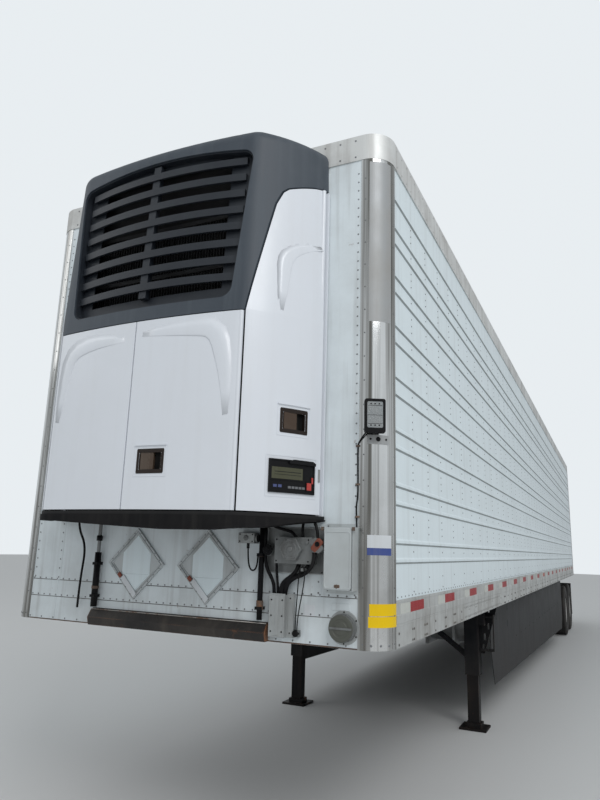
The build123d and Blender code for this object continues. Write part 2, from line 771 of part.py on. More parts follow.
# Unit frame: deck, back pan, two posts at the front corners and a jamb behind each side panel
with BuildPart() as unit_frame:
    rise(unit_outline(2), unit_low, deck_top)
    block((-860, 860), (front - pan_depth, front), (deck_top, side_panel_top + 60))
    block((-925, 925), (front, wall_face), (unit_low + 20, top_rail_bottom - 40))
    for hand in (1, -1):
        block((hand * 590, hand * 612), (front - 418, front - 392), (deck_top, fascia_bottom))
        block((hand * 895, hand * 938), (front - jamb_depth, front),
              (deck_top, side_panel_top - 12))
        upright(hand * unit_axis_x, unit_axis_y, deck_top - 10, unit_door_low + pin_length,
                pin_size)
        upright(hand * side_axis_x, side_axis_y, deck_top - 10, unit_door_low + pin_length,
                pin_size)
write(unit_frame, "unit_frame")


def side_region(gap):
    """The region of the side panels seen from the front, kept off the fascia by gap."""
    points = [(x + gap, z - 0.6 * gap) for x, z in fascia_side]
    with BuildPart(mode=Mode.PRIVATE) as region:
        for hand in (1, -1):
            with BuildSketch(across(front)):
                with BuildLine():
                    Polyline(*[(hand * x, z) for x, z in (
                        (unit_corner_x + gap, deck_top - 10), *points,
                        (905, side_panel_top - gap), (1100, side_panel_top - gap),
                        (1100, deck_top - 10))], close=True)
                make_face()
            extrude(amount=700)
    return region.part


def grille_opening(inset):
    """The fascia's opening seen from the front, with an arched head, moved in by inset."""
    low, shoulder, head = 2995 + inset, 3905 - inset, 3955 - inset
    foot_half, shoulder_half = 560 - inset, 634 - inset
    with BuildPart(mode=Mode.PRIVATE) as opening:
        with BuildSketch(across(front - 300)) as window:
            with BuildLine():
                Polyline((-shoulder_half, shoulder), (-foot_half, low), (foot_half, low),
                         (shoulder_half, shoulder))
                ThreePointArc((shoulder_half, shoulder), (0, head), (-shoulder_half, shoulder))
            make_face()
            fillet(window.vertices(), radius=70 - inset)
        extrude(window.sketch, amount=300)
    return opening.part


with BuildPart() as fascia:
    add(unit_shell.part)
    block((-1000, 1000), (front - 700, front + 10), (deck_top - 10, fascia_bottom),
          mode=Mode.SUBTRACT)
    add(side_region(0), mode=Mode.SUBTRACT)
    add(grille_opening(0), mode=Mode.SUBTRACT)
    with BuildPart(mode=Mode.PRIVATE) as lip:
        rise(unit_outline(shell / 2), fascia_bottom, fascia_bottom + 20)
        block((-630, 630), (front - 600, front - 392), (fascia_bottom, fascia_bottom + 20),
              mode=Mode.INTERSECT)
    add(lip.part)
    for hand in (1, -1):
        upright(hand * unit_axis_x, unit_axis_y, unit_door_high - pin_length, fascia_bottom + 10,
                pin_size)
        upright(hand * side_axis_x, side_axis_y, side_panel_top - door_gap - pin_length,
                side_panel_top + 10, pin_size)
write(fascia, "unit_fascia")

# Grille: a deep tray behind the opening, a mullion and eight curved louvre blades
blade_count = 8
blade_first = 3128
blade_pitch = 104.5
blade_half = 575
blade_centre_in = 4
blade_end_depth = 425
tray_depth = 62
tray_sheet = 6
window_half = 468
mullion_x = -30
mullion_half = 25
blade_bow = unit_corner_depth + unit_bow - blade_centre_in - blade_end_depth
blade_radius = (blade_half ** 2 + blade_bow ** 2) / (2 * blade_bow)
blade_angle = degrees(atan2(blade_half, blade_radius - blade_bow))
blade_section = ((0, -22), (0, 22), (-58, 34), (-60, 26), (-14, -22))
with BuildPart() as grille:
    with BuildPart(mode=Mode.PRIVATE) as tray:
        leaning(tray_depth - tray_sheet, 2960, 3990)
        with BuildPart(mode=Mode.PRIVATE) as hollow:
            leaning(tray_depth, 2940, 4010)
        add(hollow.part, mode=Mode.SUBTRACT)
        add(grille_opening(-4), mode=Mode.INTERSECT)
        block((-window_half, window_half), (front - 600, front - 300), (3075, 3915),
              mode=Mode.SUBTRACT)
    add(tray.part)
    with BuildPart(mode=Mode.PRIVATE) as rim:
        leaning(10, 2960, 3990)
        with BuildPart(mode=Mode.PRIVATE) as core_space:
            leaning(tray_depth, 2940, 4010)
        add(core_space.part, mode=Mode.SUBTRACT)
        add(grille_opening(0), mode=Mode.INTERSECT)
        add(grille_opening(9), mode=Mode.SUBTRACT)
    add(rim.part)
    for n in range(blade_count):
        z = blade_first + blade_pitch * n
        back = lean_rate * (z - fascia_bottom)
        centre_y = front + back - (unit_corner_depth + unit_bow - blade_centre_in) + blade_radius
        turn = radians(-blade_angle)
        reach = (sin(turn), -cos(turn), 0)
        with BuildSketch(Plane(origin=(0, centre_y, z), x_dir=reach,
                               z_dir=(reach[1], -reach[0], 0))) as blade:
            with BuildLine():
                Polyline(*[(blade_radius + u, v) for u, v in blade_section], close=True)
            make_face()
        revolve(blade.sketch, axis=Axis((0, centre_y, z), (0, 0, 1)),
                revolution_arc=2 * blade_angle)
    with BuildPart(mode=Mode.PRIVATE) as mullion:
        leaning(16, 2990, 3950)
        block((mullion_x - mullion_half, mullion_x + mullion_half), (front - 600, front - 440),
              (3060, 3930), mode=Mode.INTERSECT)
        with BuildPart(mode=Mode.PRIVATE) as behind:
            leaning(50, 2980, 3960)
        add(behind.part, mode=Mode.SUBTRACT)
    add(mullion.part)
write(grille, "unit_grille")


def dished(panel, corner_line, tilt):
    """Takes a shallow wedge out of a panel inside a crease, deepest at the crease's corner."""
    points = [Vector(*point) for point in corner_line]
    first, last = points[0], points[-1]
    points[0] = first + (points[1] - first) * 0.06
    points[-1] = last + (points[-2] - last) * 0.06
    with BuildPart(mode=Mode.PRIVATE) as wedge:
        with BuildSketch(across(front)):
            with BuildLine():
                Polyline(*[(point.X, point.Z) for point in points], close=True)
            make_face()
        extrude(amount=700)
        with BuildPart(mode=Mode.PRIVATE) as kept:
            extrude(unit_outline(0, deck_top), amount=fascia_bottom - deck_top, dir=(0, 0, 1))
            leaning(0, fascia_bottom, 3700)
        add(kept.part.rotate(Axis(first, last - first), tilt), mode=Mode.SUBTRACT)
    return panel - wedge.part


def pocket_plane(x):
    """A plane that lies on the side panel's slanting face at a distance X from the middle."""
    run = (unit_half - x) / (unit_half - unit_corner_x)
    y = front - unit_corner_depth * run - (x > 0) * 30
    length = (0.154 ** 2 + 0.236 ** 2) ** 0.5
    tangent = (0.154 / length, 0.236 / length, 0)
    return Plane(origin=(x, y, 0), x_dir=tangent, z_dir=(tangent[1], -tangent[0], 0))


def pocket(plane, x, z, width, height, outward, inward):
    """A block with round corners that stands through the shell, cut to follow its surface."""
    with BuildPart(mode=Mode.PRIVATE) as plug:
        with BuildSketch(plane.offset(-90)) as shape:
            with Locations((x, z)):
                RectangleRounded(width, height, 12)
        extrude(shape.sketch, amount=180)
        with BuildPart(mode=Mode.PRIVATE) as skin:
            rise(unit_outline(-outward), deck_top, fascia_bottom)
            rise(unit_outline(inward), deck_top - 1, fascia_bottom + 1, mode=Mode.SUBTRACT)
        add(skin.part, mode=Mode.INTERSECT)
    return plug.part


def latched(panel, plane, x, z):
    """Sinks a latch pocket in a panel and puts its slanting paddle in it."""
    panel = panel - pocket(plane, x, z, 172, 132, 6, 22)
    frame_ring = pocket(plane, x, z, 172, 132, 1, 24) - pocket(plane, x, z, 140, 100, 6, 21)
    paddle = pocket(plane, x - 20, z, 70, 96, -5, 22)
    return panel + frame_ring + paddle


# Front doors of the unit: kerb side and road side, each with a dished corner
door_latch = (141, 2110)
creases = {"unit_door_kerb_side": ((-589, 2331), (-510, 2717), (-459, 2761), (-297, 2790),
                                   (-95, 2801)),
           "unit_door_road_side": ((0, 2815), (216, 2803), (433, 2786), (476, 2742), (524, 2590),
                                   (565, 2300))}
crease_tilt = 3.0
for name, low, high, hinge, tilt in (
        ("unit_door_kerb_side", -unit_axis_x, split_x - panel_gap / 2, -unit_axis_x, crease_tilt),
        ("unit_door_road_side", split_x + panel_gap / 2, unit_axis_x, unit_axis_x, crease_tilt)):
    with BuildPart() as unit_door:
        add(unit_shell.part)
        block((low, high), (front - 600, front - 300), (unit_door_low, unit_door_high),
              mode=Mode.INTERSECT)
        upright(hinge, unit_axis_y, unit_door_low, unit_door_high, axis_inset)
        upright(hinge, unit_axis_y, unit_door_low, unit_door_high, pin_size + pin_clearance,
                mode=Mode.SUBTRACT)
    face_y = {x: front - unit_corner_depth - unit_bow * (1 - (x / unit_corner_x) ** 2)
              for x, z in creases[name]}
    line = [(x, face_y[x], z) for x, z in creases[name]]
    unit_door.part = dished(unit_door.part, line, tilt)
    if hinge > 0:
        facing = across(front - unit_corner_depth - unit_bow)
        unit_door.part = latched(unit_door.part, facing, *door_latch)
    write(unit_door, name)

# Side panels of the unit, each with a latch; the road side one also carries the controls
side_latch = (0, 2336)
panel_x = 832
control_height = 2042
for hand, name in ((1, "unit_side_road_side"), (-1, "unit_side_kerb_side")):
    with BuildPart() as unit_side:
        add(unit_shell.part)
        block((hand * unit_corner_x, hand * 1000), (front - 600, side_axis_y),
              (unit_door_low, side_panel_top), mode=Mode.INTERSECT)
        add(side_region(panel_gap), mode=Mode.INTERSECT)
        upright(hand * side_axis_x, side_axis_y, unit_door_low, side_panel_top - panel_gap,
                axis_inset)
        upright(hand * side_axis_x, side_axis_y, unit_door_low, side_panel_top - panel_gap,
                pin_size + pin_clearance, mode=Mode.SUBTRACT)
    if hand > 0:
        unit_side.part = latched(unit_side.part, pocket_plane(panel_x), *side_latch)
        control = pocket(pocket_plane(panel_x), 0, control_height, 282, 170, 6, 26)
        unit_side.part = unit_side.part - control
    write(unit_side, name)
control_panel = Part(control.wrapped)
control_panel.label = "control_panel"
export_step(control_panel, "parts/control_panel.step")

# Rubber skirt round the unit's lower edge, which hangs lower towards the road side
bumper_foot = ((-960, 1822), (-800, 1800), (-626, 1798), (-240, 1778), (210, 1757), (520, 1759),
               (755, 1778), (900, 1816), (960, 1826))
with BuildPart() as unit_bumper:
    rise(unit_outline(-bumper_proud), bumper_low, unit_low)
    rise(unit_outline(40), bumper_low - 1, unit_low + 1, mode=Mode.SUBTRACT)
    with BuildSketch(across(front)):
        with BuildLine():
            Polyline(*bumper_foot, (960, unit_low), (-960, unit_low), close=True)
        make_face()
    extrude(amount=700, mode=Mode.INTERSECT)
write(unit_bumper, "unit_bumper")

# Engine and condenser, as one block
with BuildPart() as core:
    block((-560, 560), (front - 300, front - pan_depth), (deck_top, unit_high - 365))
write(core, "unit_core")

# Document box on the front wall, with a lid hinged along its top
box_x = (978, 1134)
box_z = (1477, 1794)
box_depth = 70
box_wall = 4
lid_thickness = 10
lid_gap = 5
lid_axis_y = front - box_depth - lid_gap - lid_thickness / 2
lid_axis_z = box_z[1] - 8
with BuildPart() as document_box:
    block(box_x, (front - box_depth, wall_face), box_z)
    block((box_x[0] + box_wall, box_x[1] - box_wall), (front - box_depth, wall_face - box_wall),
          (box_z[0] + box_wall, box_z[1] - box_wall - 20), mode=Mode.SUBTRACT)
    for x in (box_x[0] - 14, box_x[1] + 2):
        block((x, x + 12), (lid_axis_y - 6, front - box_depth + 20), (lid_axis_z - 8, lid_axis_z + 8))
    with BuildSketch(along(box_x[0] - 14)):
        with Locations((lid_axis_y, lid_axis_z)):
            Circle(2)
    extrude(amount=box_x[1] - box_x[0] + 28)
    for x in (box_x[0] - 2, box_x[1]):
        block((x, x + 2), (front - box_depth, front - box_depth + 20),
              (lid_axis_z - 8, lid_axis_z + 8))
write(document_box, "document_box")

with BuildPart() as box_lid:
    with BuildSketch(across(lid_axis_y + lid_thickness / 2)):
        with Locations(((box_x[0] + box_x[1]) / 2, (box_z[0] + 4 + lid_axis_z) / 2)):
            Rectangle(box_x[1] - box_x[0] - 8, lid_axis_z - box_z[0] - 4)
    extrude(amount=lid_thickness)
    lower = box_lid.edges().filter_by(Axis.Y).group_by(Axis.Z)[0]
    fillet(lower, radius=14)
    with BuildSketch(along(box_x[0] + 4)):
        with Locations((lid_axis_y, lid_axis_z)):
            Circle(lid_thickness / 2)
    extrude(amount=box_x[1] - box_x[0] - 8)
    with BuildSketch(along(box_x[0])):
        with Locations((lid_axis_y, lid_axis_z)):
            Circle(2.3)
    extrude(amount=box_x[1] - box_x[0], mode=Mode.SUBTRACT)
write(box_lid, "document_box_lid")

# Placard frames: two square plates on their corners, each with a raised rim
placard_side = 297
placard_z = 1562
with BuildPart() as placards:
    for x in (-294, 220):
        square = Plane(origin=(x, wall_face, placard_z), x_dir=(1, 0, 1), z_dir=(0, -1, 0))
        with BuildSketch(square):
            Rectangle(placard_side, placard_side)
        extrude(amount=4)
        with BuildSketch(square):
            Rectangle(placard_side, placard_side)
            Rectangle(placard_side - 24, placard_side - 24, mode=Mode.SUBTRACT)
        extrude(amount=12)
write(placards, "placard_frames")

# Connection box: a back plate with the cable socket, the six-sided cover and the air couplings
plate_y = wall_face - 6
with BuildPart() as connections:
    block((604, 948), (plate_y, wall_face), (1548, 1792))
    block((683, 905), (front - 62, plate_y), (1600, 1738))
    with BuildSketch(across(front - 62)):
        with Locations((788, 1675)):
            RegularPolygon(radius=66, side_count=6)
    extrude(amount=28)
    for x, z, radius, reach in ((632, 1668, 31, 46), (876, 1712, 9, 70)):
        with BuildSketch(across(plate_y)):
            with Locations((x, z)):
                Circle(radius)
        extrude(amount=reach)
    block((916, 946), (front - 88, plate_y), (1662, 1690))
    with BuildSketch(across(front - 40)):
        with Locations(Location((940, 1698), 38)):
            RectangleRounded(44, 78, 12)
    extrude(amount=46)
    block((858, 870), (front - 98, front - 28), (1565, 1580))
    block((858, 870), (front - 40, front - 28), (1580, 1600))
write(connections, "connection_box")

# Fittings on the front wall: cable channel, capped round tube, socket box and two pipes
pipe_y = front - 22
with BuildPart() as fittings:
    block((650, 742), (front - 40, wall_face), (1222, 1443))
    block((742, 785), (front - 16, wall_face), (1222, 1443))
    for radius, reach in ((66, 52), (70, 40)):
        with BuildSketch(across(wall_face)):
            with Locations((1064, 1292)):
                Circle(radius)
        extrude(amount=reach)
    block((1004, 1124), (wall_face - 59, wall_face - 51), (1287, 1297))
    block((443, 545), (front - 45, wall_face), (1700, 1757))
    with BuildSketch(along(545)):
        with Locations((front - 20, 1728)):
            Circle(22)
    extrude(amount=12)
    for x, radius, low, clip_high in ((583, 13, 1300, 1648), (-578, 11, 1297, 1560)):
        upright(x, pipe_y, low, unit_low, radius)
        for z in (1352, clip_high - 16):
            block((x - 18, x + 18), (front - 46, wall_face), (z, z + 16))
    block((788, 820), (front - 26, wall_face), (1230, 1262))
write(fittings, "front_fittings")


def lens(name_points, depth, plane):
    """Round lamps on a plane: each a disc with its centre and radius."""
    for x, z, radius in name_points:
        with BuildSketch(plane) as disc:
            with Locations((x, z)):
                Circle(radius)
        extrude(disc.sketch, amount=depth)


# Lamps: the work lamp on the road side corner post, markers on the rails, and the rear lamps
lamp_plane = Plane(origin=(1232, front - 22, 2377), x_dir=(0.893, 0.45, 0),
                   z_dir=(0.45, -0.893, 0))
with BuildPart() as lamps:
    with BuildSketch(lamp_plane):
        RectangleRounded(112, 184, 12)
    extrude(amount=24)
    with BuildSketch(lamp_plane):
        RectangleRounded(100, 168, 10)
    extrude(amount=-22)
    with BuildSketch(lamp_plane.offset(-22)):
        Rectangle(60, 44)
    extrude(amount=-50)
    rise(nose_outline(post_inset, corner_end), rail_bottom, top_rail_bottom, mode=Mode.SUBTRACT)
    rear_face = Plane(origin=(0, rear, 0), x_dir=(-1, 0, 0), z_dir=(0, 1, 0))
    marker_y, marker_length = front + 8000, 64
    lens([(hand * x, 1285, 52) for hand in (1, -1) for x in (640, 770, 900)], 14, rear_face)
    for x in (-160, 0, 160):
        block((x - 32, x + 32), (rear, rear + 12), (4047, 4067))
    for hand in (1, -1):
        block((hand * (side - rail_relief), hand * side), (marker_y, marker_y + marker_length),
              (1372, 1404))
        block((hand * (side - rail_relief), hand * side), (rear - 420, rear - 420 + marker_length),
              (1372, 1404))
write(lamps, "lamps")


def cord(name, points, radius):
    """A free cord: straight runs between its route's points, joined by arcs at the corners."""
    corners = [Vector(*point) for point in points]
    with BuildPart() as tube:
        with BuildLine() as route:
            start = corners[0]
            for before, corner, after in zip(corners, corners[1:], corners[2:]):
                incoming, outgoing = corner - before, after - corner
                reach = 0.45 * min(incoming.length, outgoing.length)
                arc_start = corner - incoming.normalized() * reach
                arc_end = corner + outgoing.normalized() * reach
                Line(start, arc_start)
                TangentArc(arc_start, arc_end, tangent=incoming)
                start = arc_end
            Line(start, corners[-1])
        with BuildSketch(Plane(origin=corners[0], z_dir=corners[1] - corners[0])) as section:
            Circle(radius)
        sweep(section.sketch, path=route.wires()[0])
    write(tube, name)


# Free cords on the nose: drain hose, looped socket cable, loom into the channel, and tie strap
cord("drain_hose", ((-740, front - 45, unit_low), (-740, front - 45, 1765),
                    (-672, front - 34, 1655), (-704, front - 24, 1450),
                    (-708, front - 22, 1283)), 7)
cord("socket_cable", ((500, front - 30, 1700), (500, front - 30, 1560), (570, front - 41, 1552),
                      (570, front - 41, 1632)), 4.5)
cord("main_cable", ((925, front - 75, 1662), (925, front - 75, 1560), (716, front - 24, 1510),
                    (716, front - 24, 1443)), 10)
cord("tie_strap", ((799, front - 20, 1262), (799, front - 20, 1320), (838, front - 82, 1500),
                   (848, front - 88, 1586), (880, front - 88, 1586), (872, front - 82, 1500),
                   (809, front - 20, 1320), (809, front - 20, 1262)), 3)
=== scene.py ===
import math

import bmesh
import bpy
from mathutils import Matrix, Vector
from mathutils.bvhtree import BVHTree


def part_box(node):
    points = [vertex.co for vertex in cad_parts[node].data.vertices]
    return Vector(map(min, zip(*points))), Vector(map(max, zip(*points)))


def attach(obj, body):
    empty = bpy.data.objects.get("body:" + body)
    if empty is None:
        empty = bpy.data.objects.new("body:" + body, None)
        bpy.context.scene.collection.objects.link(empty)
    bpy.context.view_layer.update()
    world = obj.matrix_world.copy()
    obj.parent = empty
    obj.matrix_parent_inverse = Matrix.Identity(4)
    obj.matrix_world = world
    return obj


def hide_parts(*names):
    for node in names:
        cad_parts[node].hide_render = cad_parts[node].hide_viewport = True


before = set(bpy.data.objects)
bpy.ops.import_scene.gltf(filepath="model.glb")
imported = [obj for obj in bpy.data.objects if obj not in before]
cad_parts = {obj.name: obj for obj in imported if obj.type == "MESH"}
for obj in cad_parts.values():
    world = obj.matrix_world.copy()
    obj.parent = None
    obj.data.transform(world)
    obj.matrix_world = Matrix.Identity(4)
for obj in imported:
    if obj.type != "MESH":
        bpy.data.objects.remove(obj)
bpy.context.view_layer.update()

# The yard: a plain pale floor under the parked trailer, soft overcast light from a large dome
# and two big lamps, and the camera where the photographer stood, at the road side front corner.
floor_colour = (0.66, 0.66, 0.655)
floor_reach = 60.0
sky_colour = (0.92, 0.968, 1.0)
sky_light, sky_seen = 0.60, 0.88

yard = bpy.data.meshes.new("yard_floor")
yard.from_pydata([(-floor_reach, -floor_reach, 0), (floor_reach, -floor_reach, 0),
                  (floor_reach, floor_reach, 0), (-floor_reach, floor_reach, 0)],
                 [], [(0, 1, 2, 3)])
yard_floor = bpy.data.objects.new("yard_floor", yard)
bpy.context.collection.objects.link(yard_floor)
floor_paint = bpy.data.materials.new("pale_floor")
floor_paint.use_nodes = True
floor_shader = floor_paint.node_tree.nodes["Principled BSDF"]
floor_shader.inputs["Base Color"].default_value = (*floor_colour, 1)
floor_shader.inputs["Roughness"].default_value = 0.9
yard.materials.append(floor_paint)

world = bpy.data.worlds.new("overcast_sky")
bpy.context.scene.world = world
world.use_nodes = True
sky = world.node_tree
background = sky.nodes["Background"]
rays = sky.nodes.new("ShaderNodeLightPath")
seen = sky.nodes.new("ShaderNodeMath")
seen.operation = "MAXIMUM"
sky.links.new(rays.outputs["Is Camera Ray"], seen.inputs[0])
sky.links.new(rays.outputs["Is Transmission Ray"], seen.inputs[1])
level = sky.nodes.new("ShaderNodeMapRange")
level.inputs["To Min"].default_value = sky_light
level.inputs["To Max"].default_value = sky_seen
sky.links.new(seen.outputs[0], level.inputs["Value"])
sky.links.new(level.outputs["Result"], background.inputs["Strength"])
background.inputs["Color"].default_value = (*sky_colour, 1)


def lamp(name, spot, aim, size, power):
    """A large soft lamp that looks at a point."""
    light = bpy.data.lights.new(name, "AREA")
    light.shape = "SQUARE"
    light.size = size
    light.energy = power
    holder = bpy.data.objects.new(name, light)
    bpy.context.collection.objects.link(holder)
    holder.location = spot
    holder.rotation_euler = (Vector(aim) - Vector(spot)).to_track_quat("-Z", "Y").to_euler()


lamp("key_lamp", (9.0, -15.0, 11.0), (0.5, -5.0, 2.0), 7.0, 780.0)
lamp("fill_lamp", (-11.0, -12.0, 9.0), (0.0, -6.0, 2.0), 7.0, 150.0)

camera_place = Vector((2.3384, -11.1003, 1.6827))
frame_rows, focal_rows = 800, 646.54
camera_yaw, camera_pitch, camera_roll = (math.radians(a) for a in (-25.7515, 12.8835, 1.7227))
forward = Vector((math.sin(camera_yaw) * math.cos(camera_pitch),
                  math.cos(camera_yaw) * math.cos(camera_pitch), math.sin(camera_pitch)))
level_right = Vector((math.cos(camera_yaw), -math.sin(camera_yaw), 0))
level_up = level_right.cross(forward)
right = level_right * math.cos(camera_roll) + level_up * math.sin(camera_roll)
up = level_up * math.cos(camera_roll) - level_right * math.sin(camera_roll)
camera_data = bpy.data.cameras.new("camera")
camera_data.sensor_fit = "VERTICAL"
camera_data.sensor_height = 36.0
camera_data.lens = camera_data.sensor_height * focal_rows / frame_rows
camera_data.clip_end = 300.0
camera = bpy.data.objects.new("camera", camera_data)
bpy.context.collection.objects.link(camera)
camera.matrix_world = (Matrix.Translation(camera_place)
                       @ Matrix((right, up, -forward)).transposed().to_4x4())
bpy.context.scene.camera = camera
bpy.context.scene.view_settings.view_transform = "Standard"

# Insulated floor pack on its crossmembers: ribbed aluminium extrusions over foam, and black
# painted steel I-beams below, filmed with road dust. The body is built up from here.
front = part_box("corner_posts")[0][1] - 0.003
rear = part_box("rear_frame")[0][1] + 0.11
side = 1.2955
both_sides = ((1, "road"), (-1, "kerb"))
forward_out = (0, -1, 0)


def node(tree, kind, inputs=None, **settings):
    """Adds a shader node. An input is a plain value, or another node's output."""
    made = tree.nodes.new(kind)
    for key, value in settings.items():
        setattr(made, key, value)
    for key, value in (inputs or {}).items():
        if isinstance(value, bpy.types.NodeSocket):
            tree.links.new(value, made.inputs[key])
        else:
            made.inputs[key].default_value = value
    return made


def effect(name, inputs, outputs):
    """Starts a shader node group with named sockets. Returns its tree, inputs and outputs."""
    tree = bpy.data.node_groups.new(name, "ShaderNodeTree")
    kinds = {float: "NodeSocketFloat", tuple: "NodeSocketColor", list: "NodeSocketVector"}
    for label, value in inputs.items():
        socket = tree.interface.new_socket(label, in_out="INPUT", socket_type=kinds[type(value)])
        socket.default_value = value
    for label, kind in outputs.items():
        tree.interface.new_socket(label, in_out="OUTPUT", socket_type=kinds[kind])
    return tree, tree.nodes.new("NodeGroupInput").outputs, tree.nodes.new("NodeGroupOutput")


def where(tree):
    """Object coordinates."""
    return node(tree, "ShaderNodeTexCoord").outputs["Object"]


def stretched(tree, scale):
    """Object coordinates with their own scale along each axis."""
    return node(tree, "ShaderNodeMapping", {"Vector": where(tree), "Scale": scale}).outputs[0]


def mix(tree, mask, below, above):
    """Mixes two colours by a mask."""
    return node(tree, "ShaderNodeMix", {0: mask, 6: below, 7: above}, data_type="RGBA").outputs[2]


def maths(tree, operation, first, second, clamp=False):
    """One sum or product of two values."""
    return node(tree, "ShaderNodeMath", {0: first, 1: second}, operation=operation,
                use_clamp=clamp).outputs[0]


# Road film: patches of dust, streaks that run down, and a darker band low on the trailer
film, film_in, film_out = effect(
    "road_film", {"Clean": (1.0, 1.0, 1.0, 1.0), "Dirt": (0.3, 0.27, 0.23, 1.0), "Patches": 0.2,
                  "Streaks": 0.2, "Low band": 0.3, "Band top": 1.6},
    {"Color": tuple, "Mask": float})
film_where = where(film)
film_patch = node(film, "ShaderNodeTexNoise", {"Vector": film_where, "Scale": 2.3, "Detail": 6.0,
                                               "Roughness": 0.62})
film_patch_mask = node(film, "ShaderNodeMapRange", {"Value": film_patch.outputs["Fac"],
                                                    "From Min": 0.42, "From Max": 0.75})
film_streak = node(film, "ShaderNodeTexNoise", {"Vector": stretched(film, (17.0, 17.0, 0.7)),
                                                "Scale": 1.0, "Detail": 4.0, "Roughness": 0.55})
film_streak_mask = node(film, "ShaderNodeMapRange", {"Value": film_streak.outputs["Fac"],
                                                     "From Min": 0.5, "From Max": 0.8})
film_height = node(film, "ShaderNodeSeparateXYZ", {0: film_where}).outputs["Z"]
film_low = node(film, "ShaderNodeMapRange", {"Value": film_height, "From Min": film_in["Band top"],
                                             "From Max": 0.3})
film_low_noise = maths(film, "MULTIPLY", film_low.outputs[0], film_patch.outputs["Fac"])
film_sum = maths(film, "ADD", maths(film, "MULTIPLY", film_patch_mask.outputs[0],
                                    film_in["Patches"]),
                 maths(film, "MULTIPLY", film_streak_mask.outputs[0], film_in["Streaks"]))
film_total = maths(film, "ADD", film_sum, maths(film, "MULTIPLY", film_low_noise,
                                                film_in["Low band"]), clamp=True)
film.links.new(mix(film, film_total, film_in["Clean"], film_in["Dirt"]), film_out.inputs["Color"])
film.links.new(film_total, film_out.inputs["Mask"])

# Surface: the slight waviness of sheet and the fine texture of its coat, as a height
skin, skin_in, skin_out = effect("sheet_surface", {"Wave": 0.3, "Wave scale": 1.4, "Grain": 0.1,
                                                   "Grain scale": 180.0}, {"Height": float})
skin_where = where(skin)
skin_wave = node(skin, "ShaderNodeTexNoise", {"Vector": skin_where, "Scale": skin_in["Wave scale"],
                                              "Detail": 1.0})
skin_grain = node(skin, "ShaderNodeTexNoise", {"Vector": skin_where,
                                               "Scale": skin_in["Grain scale"], "Detail": 2.0})
skin_sum = maths(skin, "ADD", maths(skin, "MULTIPLY", skin_wave.outputs["Fac"], skin_in["Wave"]),
                 maths(skin, "MULTIPLY", skin_grain.outputs["Fac"], skin_in["Grain"]))
skin.links.new(skin_sum, skin_out.inputs["Height"])

# Worn edges: where a corner is sharp, broken up by noise
edge, edge_in, edge_out = effect("worn_edges", {"Radius": 0.004, "Break up": 0.5,
                                                "Scale": 14.0}, {"Mask": float})
edge_round = node(edge, "ShaderNodeBevel", {"Radius": edge_in["Radius"]}, samples=4)
edge_flat = node(edge, "ShaderNodeNewGeometry").outputs["Normal"]
edge_dot = node(edge, "ShaderNodeVectorMath", {0: edge_round.outputs[0], 1: edge_flat},
                operation="DOT_PRODUCT").outputs["Value"]
edge_turn = node(edge, "ShaderNodeMapRange", {"Value": edge_dot, "From Min": 0.985,
                                              "From Max": 0.86})
edge_noise = node(edge, "ShaderNodeTexNoise", {"Vector": where(edge), "Scale": edge_in["Scale"],
                                               "Detail": 5.0})
edge_cut = maths(edge, "SUBTRACT", edge_noise.outputs["Fac"], edge_in["Break up"])
edge_soft = node(edge, "ShaderNodeMapRange", {"Value": edge_cut, "From Min": -0.08,
                                              "From Max": 0.12})
edge.links.new(maths(edge, "MULTIPLY", edge_turn.outputs[0], edge_soft.outputs[0]),
               edge_out.inputs["Mask"])

# Rust: blotches in two browns
rust, rust_in, rust_out = effect("rust", {"Amount": 0.3, "Scale": 9.0},
                                 {"Color": tuple, "Mask": float})
rust_noise = node(rust, "ShaderNodeTexNoise", {"Vector": where(rust), "Scale": rust_in["Scale"],
                                               "Detail": 8.0, "Roughness": 0.7})
rust_edge = maths(rust, "SUBTRACT", 1.0, rust_in["Amount"])
rust_cut = maths(rust, "SUBTRACT", rust_noise.outputs["Fac"],
                 maths(rust, "MULTIPLY", rust_edge, 0.72))
rust_mask = node(rust, "ShaderNodeMapRange", {"Value": rust_cut, "From Min": 0.0,
                                              "From Max": 0.1})
rust_tone = node(rust, "ShaderNodeTexNoise", {"Vector": where(rust), "Scale": 38.0,
                                              "Detail": 3.0})
rust.links.new(mix(rust, rust_tone.outputs["Fac"], (0.075, 0.032, 0.018, 1),
                   (0.30, 0.125, 0.05, 1)), rust_out.inputs["Color"])
rust.links.new(rust_mask.outputs[0], rust_out.inputs["Mask"])


def group(tree, kind, inputs=None):
    """Places one of the effects in a material."""
    return node(tree, "ShaderNodeGroup", inputs, node_tree=kind).outputs


